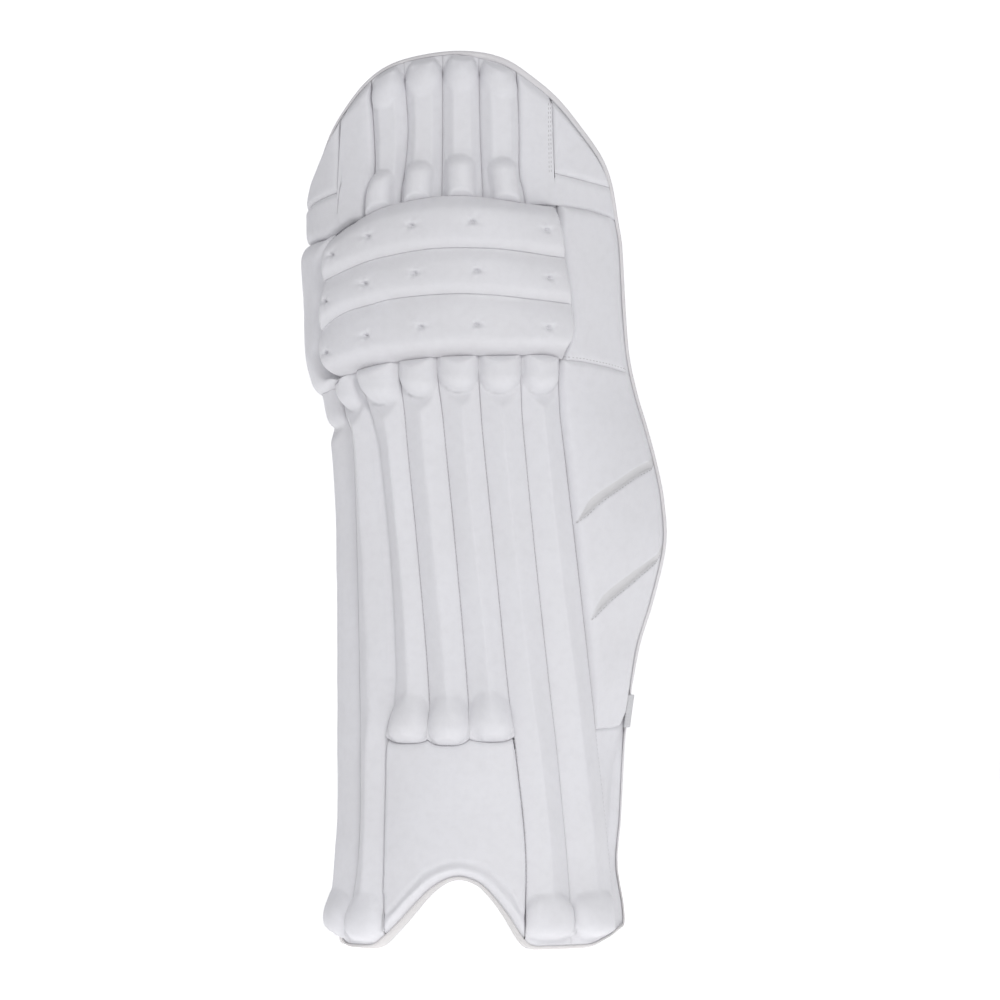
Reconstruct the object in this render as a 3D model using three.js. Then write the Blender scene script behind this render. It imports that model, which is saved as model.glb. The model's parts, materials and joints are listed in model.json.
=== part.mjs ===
import * as THREE from 'three';

// A cricket batting pad for one leg, standing upright on the two lobes of its foot.
// Millimetres, +Z up, the front faces -Y, and the origin is under the middle of its box.
//
// The pad is a C-shaped padded backing that goes round the shin. Every other front piece
// lies on it: seven ridged canes on the shin, three bolsters over the knee, four short
// canes above them, side panels, an instep panel and a bead round the rim.
//
// Places on the backing are given by two numbers. The turn says how far round the leg:
// 0 at the crest in front, -1 at the left flank, 1 at the edge of the right wing.
// The level says how far up, as a share of the pad's height.

// Overall sizes
const PAD_HEIGHT = 680;
const PAD_WIDTH = 275;
const WRAP_DEPTH = 84;

// Thicknesses
const BACKING_THICKNESS = 10;
const PANEL_THICKNESS = 6;
const PANEL_EDGE = 3;
const FLAP_THICKNESS = 12;
const WING_THICKNESS = 9;
const INSTEP_THICKNESS = 6;
const LIP_THICKNESS = 8;
const CANE_EDGE = 3;
const CANE_RIDGE = 11;
const CAP_RISE = 16;
const BULB_RISE = 15;
const TOP_CAP_RISE = 13;
const THUMB_RISE = 18;
const ROLL_RISE = 25;
const ROLL_EDGE = 7;
const BEAD_RISE = 3;
const STRAP_THICKNESS = 2.5;

// Widths and lengths of small forms
const BEAD_WIDTH = 4;
const BEAD_SETBACK = 0.4;
const RIM_MARGIN = 5.5;
const VALLEY_WIDTH = 5.5;
const CAP_END = 16;
const BULB_REACH = 21;
const BOX_CAP_REACH = 20;
const TOP_CAP_REACH = 16;
const THUMB_REACH = 15;
const ROLL_END = 16;
const DIMPLE_DEPTH = 5;
const DIMPLE_REACH = 7;
const GROOVE_DEPTH = 4;
const PAD_SOFTNESS = 9;
const LIP_WIDTH = 9;
const KNEE_STRAP_WIDTH = 38;
const CALF_STRAP_WIDTH = 38;
const ANKLE_STRAP_WIDTH = 25;
const STRAP_SLACK = 62;

// Clearances
const SEAT_GAP = 0.9;
const SEAM_GAP = 1;
const SIDE_SEAM_GAP = 1.5;
const STRAP_GAP = 0.9;

// How far the backing goes round past the left flank, and the pieces on it
const FLANK_WRAP_TURN = 1.14;
const FLANK_COVER_TURN = 1.08;
const WING_CURVE = 2.4;

// The body's level section. The left, right and crest are shares of PAD_WIDTH, the rest of
// WRAP_DEPTH: front is where the crest lies, leftDepth and rightDepth how far back the
// flank and the wing's edge lie behind it.
const BODY = [
  { level: 0.000, left: -0.388, right: 0.372, crest: -0.018, front: -0.30, leftDepth: 1.00, rightDepth: 0.98 },
  { level: 0.040, left: -0.388, right: 0.370, crest: -0.018, front: -0.29, leftDepth: 1.00, rightDepth: 0.98 },
  { level: 0.090, left: -0.379, right: 0.363, crest: -0.018, front: -0.26, leftDepth: 1.00, rightDepth: 0.98 },
  { level: 0.140, left: -0.371, right: 0.364, crest: -0.018, front: -0.21, leftDepth: 1.00, rightDepth: 0.97 },
  { level: 0.240, left: -0.369, right: 0.376, crest: -0.018, front: -0.11, leftDepth: 1.00, rightDepth: 0.96 },
  { level: 0.330, left: -0.369, right: 0.413, crest: -0.018, front: -0.04, leftDepth: 1.00, rightDepth: 0.96 },
  { level: 0.390, left: -0.369, right: 0.457, crest: -0.020, front: -0.01, leftDepth: 1.00, rightDepth: 0.98 },
  { level: 0.450, left: -0.371, right: 0.489, crest: -0.024, front: 0.00, leftDepth: 1.00, rightDepth: 0.99 },
  { level: 0.500, left: -0.375, right: 0.483, crest: -0.031, front: 0.00, leftDepth: 1.00, rightDepth: 0.98 },
  { level: 0.540, left: -0.381, right: 0.464, crest: -0.040, front: 0.00, leftDepth: 1.00, rightDepth: 0.96 },
  { level: 0.580, left: -0.391, right: 0.438, crest: -0.051, front: 0.00, leftDepth: 1.00, rightDepth: 0.94 },
  { level: 0.620, left: -0.408, right: 0.409, crest: -0.061, front: 0.00, leftDepth: 1.00, rightDepth: 0.92 },
  { level: 0.660, left: -0.427, right: 0.388, crest: -0.071, front: 0.00, leftDepth: 0.99, rightDepth: 0.90 },
  { level: 0.700, left: -0.444, right: 0.379, crest: -0.080, front: 0.00, leftDepth: 0.98, rightDepth: 0.88 },
  { level: 0.760, left: -0.458, right: 0.371, crest: -0.092, front: 0.00, leftDepth: 0.95, rightDepth: 0.86 },
  { level: 0.820, left: -0.462, right: 0.364, crest: -0.101, front: 0.02, leftDepth: 0.91, rightDepth: 0.83 },
  { level: 1.000, left: -0.461, right: 0.362, crest: -0.109, front: 0.09, leftDepth: 0.78, rightDepth: 0.72 },
];

// The rounded top edge and the foot edge with its arch, from left to right.
const TOP_EDGE = [
  { across: -0.479, level: 0.843 },
  { across: -0.458, level: 0.877 },
  { across: -0.419, level: 0.911 },
  { across: -0.377, level: 0.937 },
  { across: -0.324, level: 0.965 },
  { across: -0.269, level: 0.983 },
  { across: -0.191, level: 0.993 },
  { across: -0.063, level: 1.000 },
  { across: 0.054, level: 0.993 },
  { across: 0.149, level: 0.969 },
  { across: 0.208, level: 0.949 },
  { across: 0.265, level: 0.920 },
  { across: 0.322, level: 0.882 },
  { across: 0.350, level: 0.853 },
  { across: 0.362, level: 0.800 },
];
const FOOT_EDGE = [
  { across: -0.435, level: 0.037 },
  { across: -0.420, level: 0.024 },
  { across: -0.402, level: 0.010 },
  { across: -0.385, level: 0.000 },
  { across: -0.310, level: 0.000 },
  { across: -0.287, level: 0.007 },
  { across: -0.238, level: 0.026 },
  { across: -0.200, level: 0.043 },
  { across: -0.150, level: 0.064 },
  { across: -0.102, level: 0.076 },
  { across: -0.063, level: 0.078 },
  { across: -0.011, level: 0.068 },
  { across: 0.051, level: 0.039 },
  { across: 0.091, level: 0.014 },
  { across: 0.125, level: 0.000 },
  { across: 0.290, level: 0.000 },
  { across: 0.325, level: 0.009 },
  { across: 0.350, level: 0.017 },
  { across: 0.364, level: 0.023 },
  { across: 0.371, level: 0.029 },
];
// Past the left flank the two edges go on, where only the back shows. The foot comes down
// again there, so that the pad stands on three places.
const WRAPPED_TOP = [
  { turn: -FLANK_WRAP_TURN, level: 0.780 },
];
const WRAPPED_FOOT = [
  { turn: -FLANK_WRAP_TURN, level: 0.000 },
  { turn: -1.05, level: 0.000 },
  { turn: -0.99, level: 0.011 },
];

// Seams between the seven shin canes, by their place across at each level.
const SHIN_SEAMS = [
  { level: 0.015, one: -0.375, two: -0.271, three: -0.158, four: -0.044, five: 0.107, six: 0.236, seven: 0.354 },
  { level: 0.110, one: -0.344, two: -0.271, three: -0.158, four: -0.044, five: 0.109, six: 0.218, seven: 0.335 },
  { level: 0.227, one: -0.341, two: -0.263, three: -0.158, four: -0.044, five: 0.080, six: 0.191, seven: 0.304 },
  { level: 0.277, one: -0.342, two: -0.250, three: -0.153, four: -0.047, five: 0.064, six: 0.177, seven: 0.291 },
  { level: 0.433, one: -0.350, two: -0.265, three: -0.183, four: -0.079, five: 0.026, six: 0.136, seven: 0.248 },
  { level: 0.569, one: -0.362, two: -0.298, three: -0.215, four: -0.111, five: -0.007, six: 0.104, seven: 0.209 },
  { level: 0.594, one: -0.380, two: -0.307, three: -0.220, four: -0.117, five: -0.012, six: 0.099, seven: 0.202 },
  { level: 0.637, one: -0.400, two: -0.340, three: -0.233, four: -0.131, five: -0.019, six: 0.095, seven: 0.197 },
];

// The shin canes: where each one's top cap ends, where its foot is, and its foot's form.
const SHIN_CANES = [
  { capEnd: 0.592, foot: 0.012, form: 'bulb' },
  { capEnd: 0.598, foot: 0.010, form: 'bulb' },
  { capEnd: 0.605, foot: 0.228, form: 'bulb' },
  { capEnd: 0.613, foot: 0.226, form: 'bulb' },
  { capEnd: 0.618, foot: 0.230, form: 'bulb' },
  { capEnd: 0.617, foot: 0.011, form: 'box' },
  { capEnd: 0.617, foot: 0.011, form: 'box' },
];

// Seams of the four short canes above the knee.
const TOP_SEAMS = [
  { level: 0.820, one: -0.299, two: -0.233, three: -0.120, four: -0.006, five: 0.112 },
  { level: 0.867, one: -0.299, two: -0.222, three: -0.118, four: -0.010, five: 0.092 },
  { level: 0.915, one: -0.306, two: -0.212, three: -0.117, four: -0.015, five: 0.091 },
  { level: 0.993, one: -0.321, two: -0.227, three: -0.117, four: -0.018, five: 0.084 },
];
// Where the tip of each thumb-shaped bump stands, below which it goes under the bolster.
const THUMB_TIPS = [0.867, 0.877, 0.884, 0.881];

// Seams above, between and below the three knee bolsters.
const ROLL_SEAMS = [
  { across: -0.464, upper: 0.781, second: 0.741, third: 0.689, lower: 0.655 },
  { across: -0.437, upper: 0.790, second: 0.746, third: 0.699, lower: 0.638 },
  { across: -0.390, upper: 0.803, second: 0.755, third: 0.710, lower: 0.638 },
  { across: -0.329, upper: 0.818, second: 0.765, third: 0.717, lower: 0.648 },
  { across: -0.271, upper: 0.827, second: 0.771, third: 0.723, lower: 0.651 },
  { across: -0.150, upper: 0.836, second: 0.779, third: 0.728, lower: 0.658 },
  { across: -0.059, upper: 0.838, second: 0.780, third: 0.729, lower: 0.660 },
  { across: 0.032, upper: 0.835, second: 0.779, third: 0.727, lower: 0.660 },
  { across: 0.120, upper: 0.830, second: 0.775, third: 0.723, lower: 0.661 },
  { across: 0.167, upper: 0.825, second: 0.772, third: 0.721, lower: 0.661 },
  { across: 0.208, upper: 0.815, second: 0.770, third: 0.719, lower: 0.657 },
  { across: 0.233, upper: 0.807, second: 0.769, third: 0.717, lower: 0.653 },
];
const ROLL_SIDES = [
  { level: 0.640, left: -0.448, right: 0.197 },
  { level: 0.666, left: -0.464, right: 0.215 },
  { level: 0.682, left: -0.466, right: 0.230 },
  { level: 0.701, left: -0.464, right: 0.233 },
  { level: 0.747, left: -0.460, right: 0.218 },
  { level: 0.796, left: -0.455, right: 0.202 },
  { level: 0.834, left: -0.448, right: 0.178 },
];
// The lower edge of the knee flap, from the left outline to the bolsters' lower corner.
const FLAP_CORNER = [
  { across: -0.470, level: 0.617 },
  { across: -0.440, level: 0.621 },
  { across: -0.405, level: 0.633 },
];
// The dimples where each bolster is tied down, by their place across.
const DIMPLES = {
  upper: [-0.421, -0.324, -0.204, -0.036, 0.161],
  middle: [-0.442, -0.332, -0.194, -0.024, 0.169],
  lower: [-0.442, -0.329, -0.177, -0.024, 0.167],
};

// The L-shaped bands beside the short canes: outer corner of the L and the lower edge.
const LEFT_BAND = { across: -0.391, cornerLevel: 0.844, outerLevel: 0.822 };
const RIGHT_BAND = { across: 0.179, cornerLevel: 0.865, outerLevel: 0.846 };
const LEFT_BAND_FOOT = [
  { across: -0.486, level: 0.784 },
  { across: -0.426, level: 0.792 },
  { across: -0.360, level: 0.811 },
];
const RIGHT_BAND_FOOT = [
  { across: 0.185, level: 0.828 },
  { across: 0.340, level: 0.816 },
  { across: 0.371, level: 0.812 },
];

// The seam between the knee wing and the shin wing.
const WING_SEAM = [
  { across: 0.202, level: 0.656 },
  { across: 0.256, level: 0.654 },
  { across: 0.328, level: 0.648 },
  { across: 0.394, level: 0.640 },
];
// Lines over the shin wing from its foot up, by the levels of their inner and outer ends.
// A groove is two walls with a pressed floor between them.
const WING_LINES = [
  { inner: 0.244, outer: 0.250, sunk: 0 },
  { inner: 0.262, outer: 0.275, sunk: 0 },
  { inner: 0.300, outer: 0.340, sunk: 0 },
  { inner: 0.350, outer: 0.420, sunk: 0 },
  { inner: 0.362, outer: 0.434, sunk: 0 },
  { inner: 0.368, outer: 0.440, sunk: 1 },
  { inner: 0.374, outer: 0.446, sunk: 1 },
  { inner: 0.382, outer: 0.453, sunk: 0 },
  { inner: 0.403, outer: 0.472, sunk: 0 },
  { inner: 0.435, outer: 0.502, sunk: 0 },
  { inner: 0.468, outer: 0.531, sunk: 0 },
  { inner: 0.473, outer: 0.538, sunk: 1 },
  { inner: 0.480, outer: 0.545, sunk: 1 },
  { inner: 0.490, outer: 0.552, sunk: 0 },
  { inner: 0.530, outer: 0.572, sunk: 0 },
  { inner: 0.569, outer: 0.592, sunk: 0 },
  { inner: 0.600, outer: 0.610, sunk: 0 },
  { inner: 0.635, outer: 0.625, sunk: 0 },
  { inner: 0.656, outer: 0.640, sunk: 0 },
];

// The instep panel's side seams lie along the canes, its top under the middle bulbs.
const INSTEP_TOP_LEVEL = 0.222;

// Straps: where each one lies, and how wide it is. The ankle strap is sewn to the wing's
// very edge, where it shows from the front, and the others inside the wing.
const STRAPS = [
  { name: 'knee_strap', level: 0.735, width: KNEE_STRAP_WIDTH, onEdge: false },
  { name: 'calf_strap', level: 0.470, width: CALF_STRAP_WIDTH, onEdge: false },
  { name: 'ankle_strap', level: 0.262, width: ANKLE_STRAP_WIDTH, onEdge: true },
];
// The turns between which a strap's ends are sewn down inside the flank and the wing.
const FLANK_SEWN = { from: -0.80, to: -0.96 };
const WING_SEWN = { from: 0.70, to: 0.84 };

// Value of one column of a table at a place, on a smooth curve through its rows.
function readTable(rows, key, column, place) {
  const last = rows.length - 1;
  if (place <= rows[0][key]) {
    return rows[0][column];
  }
  if (place >= rows[last][key]) {
    return rows[last][column];
  }
  let row = 0;
  while (rows[row + 1][key] < place) {
    row += 1;
  }
  const slope = (i) => {
    const before = rows[Math.max(i - 1, 0)];
    const after = rows[Math.min(i + 1, last)];
    return (after[column] - before[column]) / (after[key] - before[key]);
  };
  const span = rows[row + 1][key] - rows[row][key];
  const s = (place - rows[row][key]) / span;
  const low = rows[row][column];
  const high = rows[row + 1][column];
  const ease = s * s * (3 - 2 * s);
  const startBend = s * (1 - s) * (1 - s) * span * slope(row);
  const endBend = s * s * (1 - s) * span * slope(row + 1);
  return low + (high - low) * ease + startBend - endBend;
}

// The same on straight lines between the rows.
function readLine(rows, key, column, place) {
  const last = rows.length - 1;
  if (place <= rows[0][key]) {
    return rows[0][column];
  }
  if (place >= rows[last][key]) {
    return rows[last][column];
  }
  let row = 0;
  while (rows[row + 1][key] < place) {
    row += 1;
  }
  const s = (place - rows[row][key]) / (rows[row + 1][key] - rows[row][key]);
  return THREE.MathUtils.lerp(rows[row][column], rows[row + 1][column], s);
}

// The body's section at a level, in millimetres.
function sectionAt(level) {
  const share = (column) => readTable(BODY, 'level', column, level);
  const crest = share('crest') * PAD_WIDTH;
  return {
    crest,
    front: share('front') * WRAP_DEPTH,
    leftReach: crest - share('left') * PAD_WIDTH,
    rightReach: share('right') * PAD_WIDTH - crest,
    leftDepth: share('leftDepth') * WRAP_DEPTH,
    rightDepth: share('rightDepth') * WRAP_DEPTH,
  };
}

// Where a turn and a level lie on the body, and the level direction that points away from the leg.
function bodyAt(turn, level) {
  const s = sectionAt(level);
  const point = new THREE.Vector3(0, 0, level * PAD_HEIGHT);
  const outward = new THREE.Vector3();
  if (turn < 0) {
    const angle = -turn * Math.PI / 2;
    point.x = s.crest - s.leftReach * Math.sin(angle);
    point.y = s.front + s.leftDepth * (1 - Math.cos(angle));
    outward.set(-s.leftDepth * Math.sin(angle), -s.leftReach * Math.cos(angle), 0);
  } else {
    point.x = s.crest + s.rightReach * turn;
    point.y = s.front + s.rightDepth * Math.pow(turn, WING_CURVE);
    const climb = s.rightDepth * WING_CURVE * Math.pow(turn, WING_CURVE - 1);
    outward.set(climb, -s.rightReach, 0);
  }
  return { point, outward: outward.normalize() };
}

// A point that stands a rise above the body's surface, or below it where the rise is negative.
function placed(turn, level, rise) {
  const { point, outward } = bodyAt(turn, level);
  return point.addScaledVector(outward, rise);
}

// The turn that shows at a place across in the front view, for a spot that stands a rise above the body.
function turnAt(across, level, rise = CANE_EDGE) {
  const s = sectionAt(level);
  const reach = across * PAD_WIDTH - s.crest;
  if (reach < 0) {
    const sine = Math.min(1, -reach / (s.leftReach + rise));
    return -Math.asin(sine) / (Math.PI / 2);
  }
  let turn = reach / s.rightReach;
  for (let pass = 0; pass < 6; pass += 1) {
    const climb = s.rightDepth * WING_CURVE * Math.pow(Math.min(1, turn), WING_CURVE - 1);
    turn = (reach - rise * climb / Math.hypot(climb, s.rightReach)) / s.rightReach;
  }
  return Math.max(0, Math.min(1, turn));
}

// How many millimetres one whole turn would measure at a place.
function girthAt(turn, level) {
  const step = 0.01;
  return bodyAt(turn - step, level).point.distanceTo(bodyAt(turn + step, level).point) / (2 * step);
}

// Edges given across become edges given by turn.
function edgeByTurn(rows, wrapped) {
  const byTurn = rows.map((row) => ({ turn: turnAt(row.across, row.level), level: row.level }));
  return [...wrapped, ...byTurn.filter((row) => row.turn > wrapped.at(-1).turn + 0.02)];
}
const topRows = edgeByTurn(TOP_EDGE, WRAPPED_TOP);
const footRows = edgeByTurn(FOOT_EDGE, WRAPPED_FOOT);
const topLevel = (turn) => readLine(topRows, 'turn', 'level', turn);
const footLevel = (turn) => readLine(footRows, 'turn', 'level', turn);

// A level held a margin inside an edge, measured square to that edge.
function insideEdge(edge, side, margin) {
  return (turn) => {
    const step = 0.01;
    const level = edge(turn);
    const climb = (edge(turn + step) - edge(turn - step)) * PAD_HEIGHT;
    const run = 2 * step * girthAt(turn, level);
    const stretch = Math.min(2.5, Math.hypot(1, climb / run));
    return level + side * margin * stretch / PAD_HEIGHT;
  };
}
const innerTop = insideEdge(topLevel, -1, RIM_MARGIN);
const innerFoot = insideEdge(footLevel, 1, RIM_MARGIN);
// The rim's turn on the right at a level: the wing's edge, and above it the rounded top edge.
const rightTopRows = topRows.filter((row) => row.turn > 0.5).toReversed();
function wingSide(level) {
  const rimAt = (place) => readLine(rightTopRows, 'level', 'turn', place);
  const rim = rimAt(level);
  const step = 0.01;
  const lean = (rimAt(level + step) - rimAt(level - step)) * girthAt(rim, level) / (2 * step * PAD_HEIGHT);
  return rim - RIM_MARGIN * Math.hypot(1, lean) / girthAt(rim, level);
}

// Triangles between two lines that run the same way, with their faces towards
// (second line - first line) x direction.
function stitch(first, second, points, triangles) {
  let i = 0;
  let j = 0;
  while (i < first.length - 1 || j < second.length - 1) {
    const canFirst = i < first.length - 1;
    const canSecond = j < second.length - 1;
    const reachFirst = canFirst ? points[first[i + 1]].distanceTo(points[second[j]]) : Infinity;
    const reachSecond = canSecond ? points[first[i]].distanceTo(points[second[j + 1]]) : Infinity;
    if (reachFirst <= reachSecond) {
      triangles.push(first[i], second[j], first[i + 1]);
      i += 1;
    } else {
      triangles.push(first[i], second[j], second[j + 1]);
      j += 1;
    }
  }
}

// A closed solid from an outer and an inner sheet of points. Each sheet is a list of rows
// from the foot up, and each row runs from left to right as seen from outside.
function closedSheets(outer, inner) {
  const points = [];
  const triangles = [];
  const number = (sheet) => sheet.map((row) => row.map((point) => points.push(point) - 1));
  const front = number(outer);
  const back = number(inner);
  const skin = (sheet, flip) => {
    for (let row = 0; row < sheet.length - 1; row += 1) {
      for (let column = 0; column < sheet[row].length - 1; column += 1) {
        const a = sheet[row][column];
        const b = sheet[row][column + 1];
        const c = sheet[row + 1][column + 1];
        const d = sheet[row + 1][column];
        if (flip) {
          triangles.push(a, c, b, a, d, c);
        } else {
          triangles.push(a, b, c, a, c, d);
        }
      }
    }
  };
  skin(front, false);
  skin(back, true);
  const column = (sheet, index) => sheet.map((row) => row.at(index));
  stitch(column(back, 0), column(front, 0), points, triangles);
  stitch(column(front, -1), column(back, -1), points, triangles);
  stitch(front[0], back[0], points, triangles);
  stitch(back.at(-1), front.at(-1), points, triangles);
  const geometry = new THREE.BufferGeometry();
  geometry.setAttribute('position', new THREE.Float32BufferAttribute(points.flatMap((p) => p.toArray()), 3));
  geometry.setIndex(triangles);
  geometry.computeVertexNormals();
  return geometry;
}

const pad = new THREE.Group();

const FINISHES = {
  leather: { color: 0xe9e9ee, roughness: 0.55, metalness: 0 },
  lining: { color: 0xdedee2, roughness: 0.9, metalness: 0 },
  binding: { color: 0xe4e2e6, roughness: 0.6, metalness: 0 },
  webbing: { color: 0xd9d9dd, roughness: 0.85, metalness: 0 },
};

function addPiece(name, geometry, finish) {
  const material = new THREE.MeshStandardMaterial(FINISHES[finish]);
  const mesh = new THREE.Mesh(geometry, material);
  mesh.name = name;
  pad.add(mesh);
}

// Evenly spaced shares from 0 to 1.
function evenly(count) {
  return Array.from({ length: count + 1 }, (_, i) => i / count);
}

// The turn and level of a spot between four edges, for its shares across and along. It
// keeps half a seam's gap inside the edges. An edge on the left or right gives a turn for
// a level, the foot and the top a level for a turn.
function spotBetween(edges, u, v) {
  let level = 0.5;
  let turn = (edges.left(level) + edges.right(level)) / 2;
  for (let pass = 0; pass < 8; pass += 1) {
    const footGap = SEAM_GAP / 2 / PAD_HEIGHT;
    level = THREE.MathUtils.lerp(edges.foot(turn) + footGap, edges.top(turn) - footGap, v);
    const from = edges.left(level);
    const to = edges.right(level);
    const sideGap = SEAM_GAP / 2 / girthAt((from + to) / 2, level);
    turn = THREE.MathUtils.lerp(from + sideGap, to - sideGap, u);
  }
  return { turn, level };
}

// A padded piece on the body between four edges. rise gives its height above the body for
// the shares across and along, and the spot's turn and level.
function paddedPiece(name, edges, rise, grid) {
  const sheet = (across, along, riseAt) => along.map((v) => across.map((u) => {
    const { turn, level } = spotBetween(edges, u, v);
    return placed(turn, level, riseAt(u, v, turn, level));
  }));
  const outer = sheet(grid.across, grid.along, rise);
  const inner = sheet(grid.underAcross, grid.underAlong, () => SEAT_GAP);
  addPiece(name, closedSheets(outer, inner), 'leather');
}

// A cushion's height: its edge height at the rim, rising to the full height within a softness.
function cushion(edgeRise, fullRise, distance, softness) {
  const s = Math.min(1, Math.max(0, distance / softness));
  return edgeRise + (fullRise - edgeRise) * Math.sqrt(1 - (1 - s) * (1 - s));
}

// Distance to the nearest rim of a piece, from its shares and its sizes.
function rimDistance(u, v, width, length) {
  return Math.min(Math.min(u, 1 - u) * width, Math.min(v, 1 - v) * length);
}

// Backing
const BACKING_COLUMNS = 28;
const STEEP_TURNS = [-0.97, -0.91, 0.955, 0.982];
const BACKING_ROWS = 26;
const evenTurns = evenly(BACKING_COLUMNS).map((s) => THREE.MathUtils.lerp(-FLANK_WRAP_TURN, 1, s));
const backingTurns = [...evenTurns, ...STEEP_TURNS].sort((a, b) => a - b);
function backingSheet(rise) {
  return evenly(BACKING_ROWS).map((v) => backingTurns.map((turn) => {
    const level = THREE.MathUtils.lerp(footLevel(turn), topLevel(turn), v);
    return placed(turn, level, rise);
  }));
}
addPiece('backing', closedSheets(backingSheet(0), backingSheet(-BACKING_THICKNESS)), 'lining');

// Rim bead: a small raised cord along the whole edge of the backing, on its front.
function rimSpots() {
  const steps = evenly(BACKING_ROWS).slice(1, -1);
  const foot = backingTurns.map((turn) => ({ turn, level: footLevel(turn) }));
  const right = steps.map((v) => ({ turn: 1, level: THREE.MathUtils.lerp(footLevel(1), topLevel(1), v) }));
  const top = backingTurns.toReversed().map((turn) => ({ turn, level: topLevel(turn) }));
  const left = steps.toReversed().map((v) => ({
    turn: -FLANK_WRAP_TURN,
    level: THREE.MathUtils.lerp(footLevel(-FLANK_WRAP_TURN), topLevel(-FLANK_WRAP_TURN), v),
  }));
  return [...foot, ...right, ...top, ...left];
}

function beadGeometry() {
  const spots = rimSpots();
  const count = spots.length;
  const points = [];
  const triangles = [];
  spots.forEach((spot, i) => {
    const { point, outward } = bodyAt(spot.turn, spot.level);
    const before = spots.at(i - 1);
    const after = spots[(i + 1) % count];
    const along = placed(after.turn, after.level, 0).sub(placed(before.turn, before.level, 0)).normalize();
    const inward = new THREE.Vector3().crossVectors(outward, along).normalize();
    const corners = [
      [BEAD_SETBACK, SEAT_GAP],
      [BEAD_SETBACK, SEAT_GAP + BEAD_RISE],
      [BEAD_SETBACK + BEAD_WIDTH, SEAT_GAP + BEAD_RISE],
      [BEAD_SETBACK + BEAD_WIDTH, SEAT_GAP],
    ];
    for (const [inset, rise] of corners) {
      points.push(point.clone().addScaledVector(inward, inset).addScaledVector(outward, rise));
    }
  });
  for (let i = 0; i < count; i += 1) {
    const here = 4 * i;
    const next = 4 * ((i + 1) % count);
    for (let corner = 0; corner < 4; corner += 1) {
      const other = (corner + 1) % 4;
      triangles.push(here + corner, next + corner, next + other, here + corner, next + other, here + other);
    }
  }
  const geometry = new THREE.BufferGeometry();
  geometry.setAttribute('position', new THREE.Float32BufferAttribute(points.flatMap((p) => p.toArray()), 3));
  geometry.setIndex(triangles);
  geometry.computeVertexNormals();
  return geometry;
}
addPiece('rim_bead', beadGeometry(), 'binding');

// Knee bolsters
// A bolster's ends bulge out past its seat, so they are seated where its shoulder shows.
const ROLL_LEFT_TURN = -0.92;
const ROLL_SHOULDER = ROLL_EDGE + 0.6 * (ROLL_RISE - ROLL_EDGE);
const rollSide = (side) => (level) => {
  const across = readTable(ROLL_SIDES, 'level', side, level);
  return Math.max(ROLL_LEFT_TURN, turnAt(across, level, ROLL_SHOULDER));
};
const rollTurns = ROLL_SEAMS.map((row) => ({ ...row, turn: turnAt(row.across, row.second, ROLL_SHOULDER) }));
const rollSeam = (seam) => (turn) => readTable(rollTurns, 'turn', seam, turn);

function kneeRoll(name, foot, top, dimples) {
  const middle = (turn) => (rollSeam(foot)(turn) + rollSeam(top)(turn)) / 2;
  const ties = dimples.map((across) => turnAt(across, middle(0), ROLL_SHOULDER));
  const rise = (u, v, turn, level) => {
    const crown = Math.pow(Math.sin(Math.PI * v), 0.6);
    const length = girthAt(0, level);
    const toLeft = (turn - rollSide('left')(level)) * length;
    const toRight = (rollSide('right')(level) - turn) * length;
    const ends = cushion(0.25, 1, Math.min(toLeft, toRight), ROLL_END);
    let height = ROLL_EDGE + (ROLL_RISE - ROLL_EDGE) * crown * ends;
    for (const tie of ties) {
      const away = Math.hypot((turn - tie) * length, (level - middle(tie)) * PAD_HEIGHT) / DIMPLE_REACH;
      height -= away < 1 ? DIMPLE_DEPTH * (1 - away) * (1 - away) : 0;
    }
    return height;
  };
  const from = rollSide('left')(middle(-1));
  const to = rollSide('right')(middle(0.5));
  const shareOf = (turn) => (turn - from) / (to - from);
  const reach = DIMPLE_REACH / girthAt(0, middle(0));
  const atTies = ties.flatMap((tie) => [shareOf(tie - reach), shareOf(tie), shareOf(tie + reach)]);
  const marks = [0, 0.025, ...atTies, 0.975, 1].filter((share) => share >= 0 && share <= 1);
  marks.sort((a, b) => a - b);
  const across = marks.filter((share, i) => i === 0 || share - marks[i - 1] > 0.012);
  paddedPiece(name, {
    left: rollSide('left'),
    right: rollSide('right'),
    foot: rollSeam(foot),
    top: rollSeam(top),
  }, rise, {
    across,
    along: [0, 0.12, 0.3, 0.5, 0.7, 0.88, 1],
    underAcross: evenly(18),
    underAlong: evenly(3),
  });
}
kneeRoll('knee_roll_upper', 'second', 'upper', DIMPLES.upper);
kneeRoll('knee_roll_middle', 'third', 'second', DIMPLES.middle);
kneeRoll('knee_roll_lower', 'lower', 'third', DIMPLES.lower);

// Ridged cane: a roof-shaped strip with a narrow flat on its ridge.
const RIDGE_FLAT_SHARE = 0.12;
function ridge(u) {
  const slope = Math.min(1, Math.min(u, 1 - u) / (0.5 - RIDGE_FLAT_SHARE / 2));
  return CANE_EDGE + (CANE_RIDGE - CANE_EDGE) * slope;
}

// A rounded bump on a cane: square 2 is round, more is boxier. It goes on at full height
// above its centre where up is Infinity.
function bump(u, height, centre, bumpForm) {
  const away = height - centre;
  const reach = away > 0 ? bumpForm.up : bumpForm.down;
  const side = Math.pow(Math.abs(2 * u - 1) / bumpForm.wide, bumpForm.square);
  const end = Math.pow(Math.abs(away) / reach, bumpForm.square);
  const left = 1 - side - end;
  return left > 0 ? bumpForm.rise * Math.pow(left, 1 / bumpForm.square) : 0;
}

const CANE_ACROSS = [0, 0.08, 0.25, 0.44, 0.56, 0.75, 0.92, 1];
const seamKeys = ['one', 'two', 'three', 'four', 'five', 'six', 'seven'];
const shinSeam = (index, shift) => (level) => {
  if (index < 0) {
    return -FLANK_COVER_TURN;
  }
  const turn = turnAt(readTable(SHIN_SEAMS, 'level', seamKeys[index], level), level);
  return turn + shift / girthAt(turn, level);
};

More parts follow.
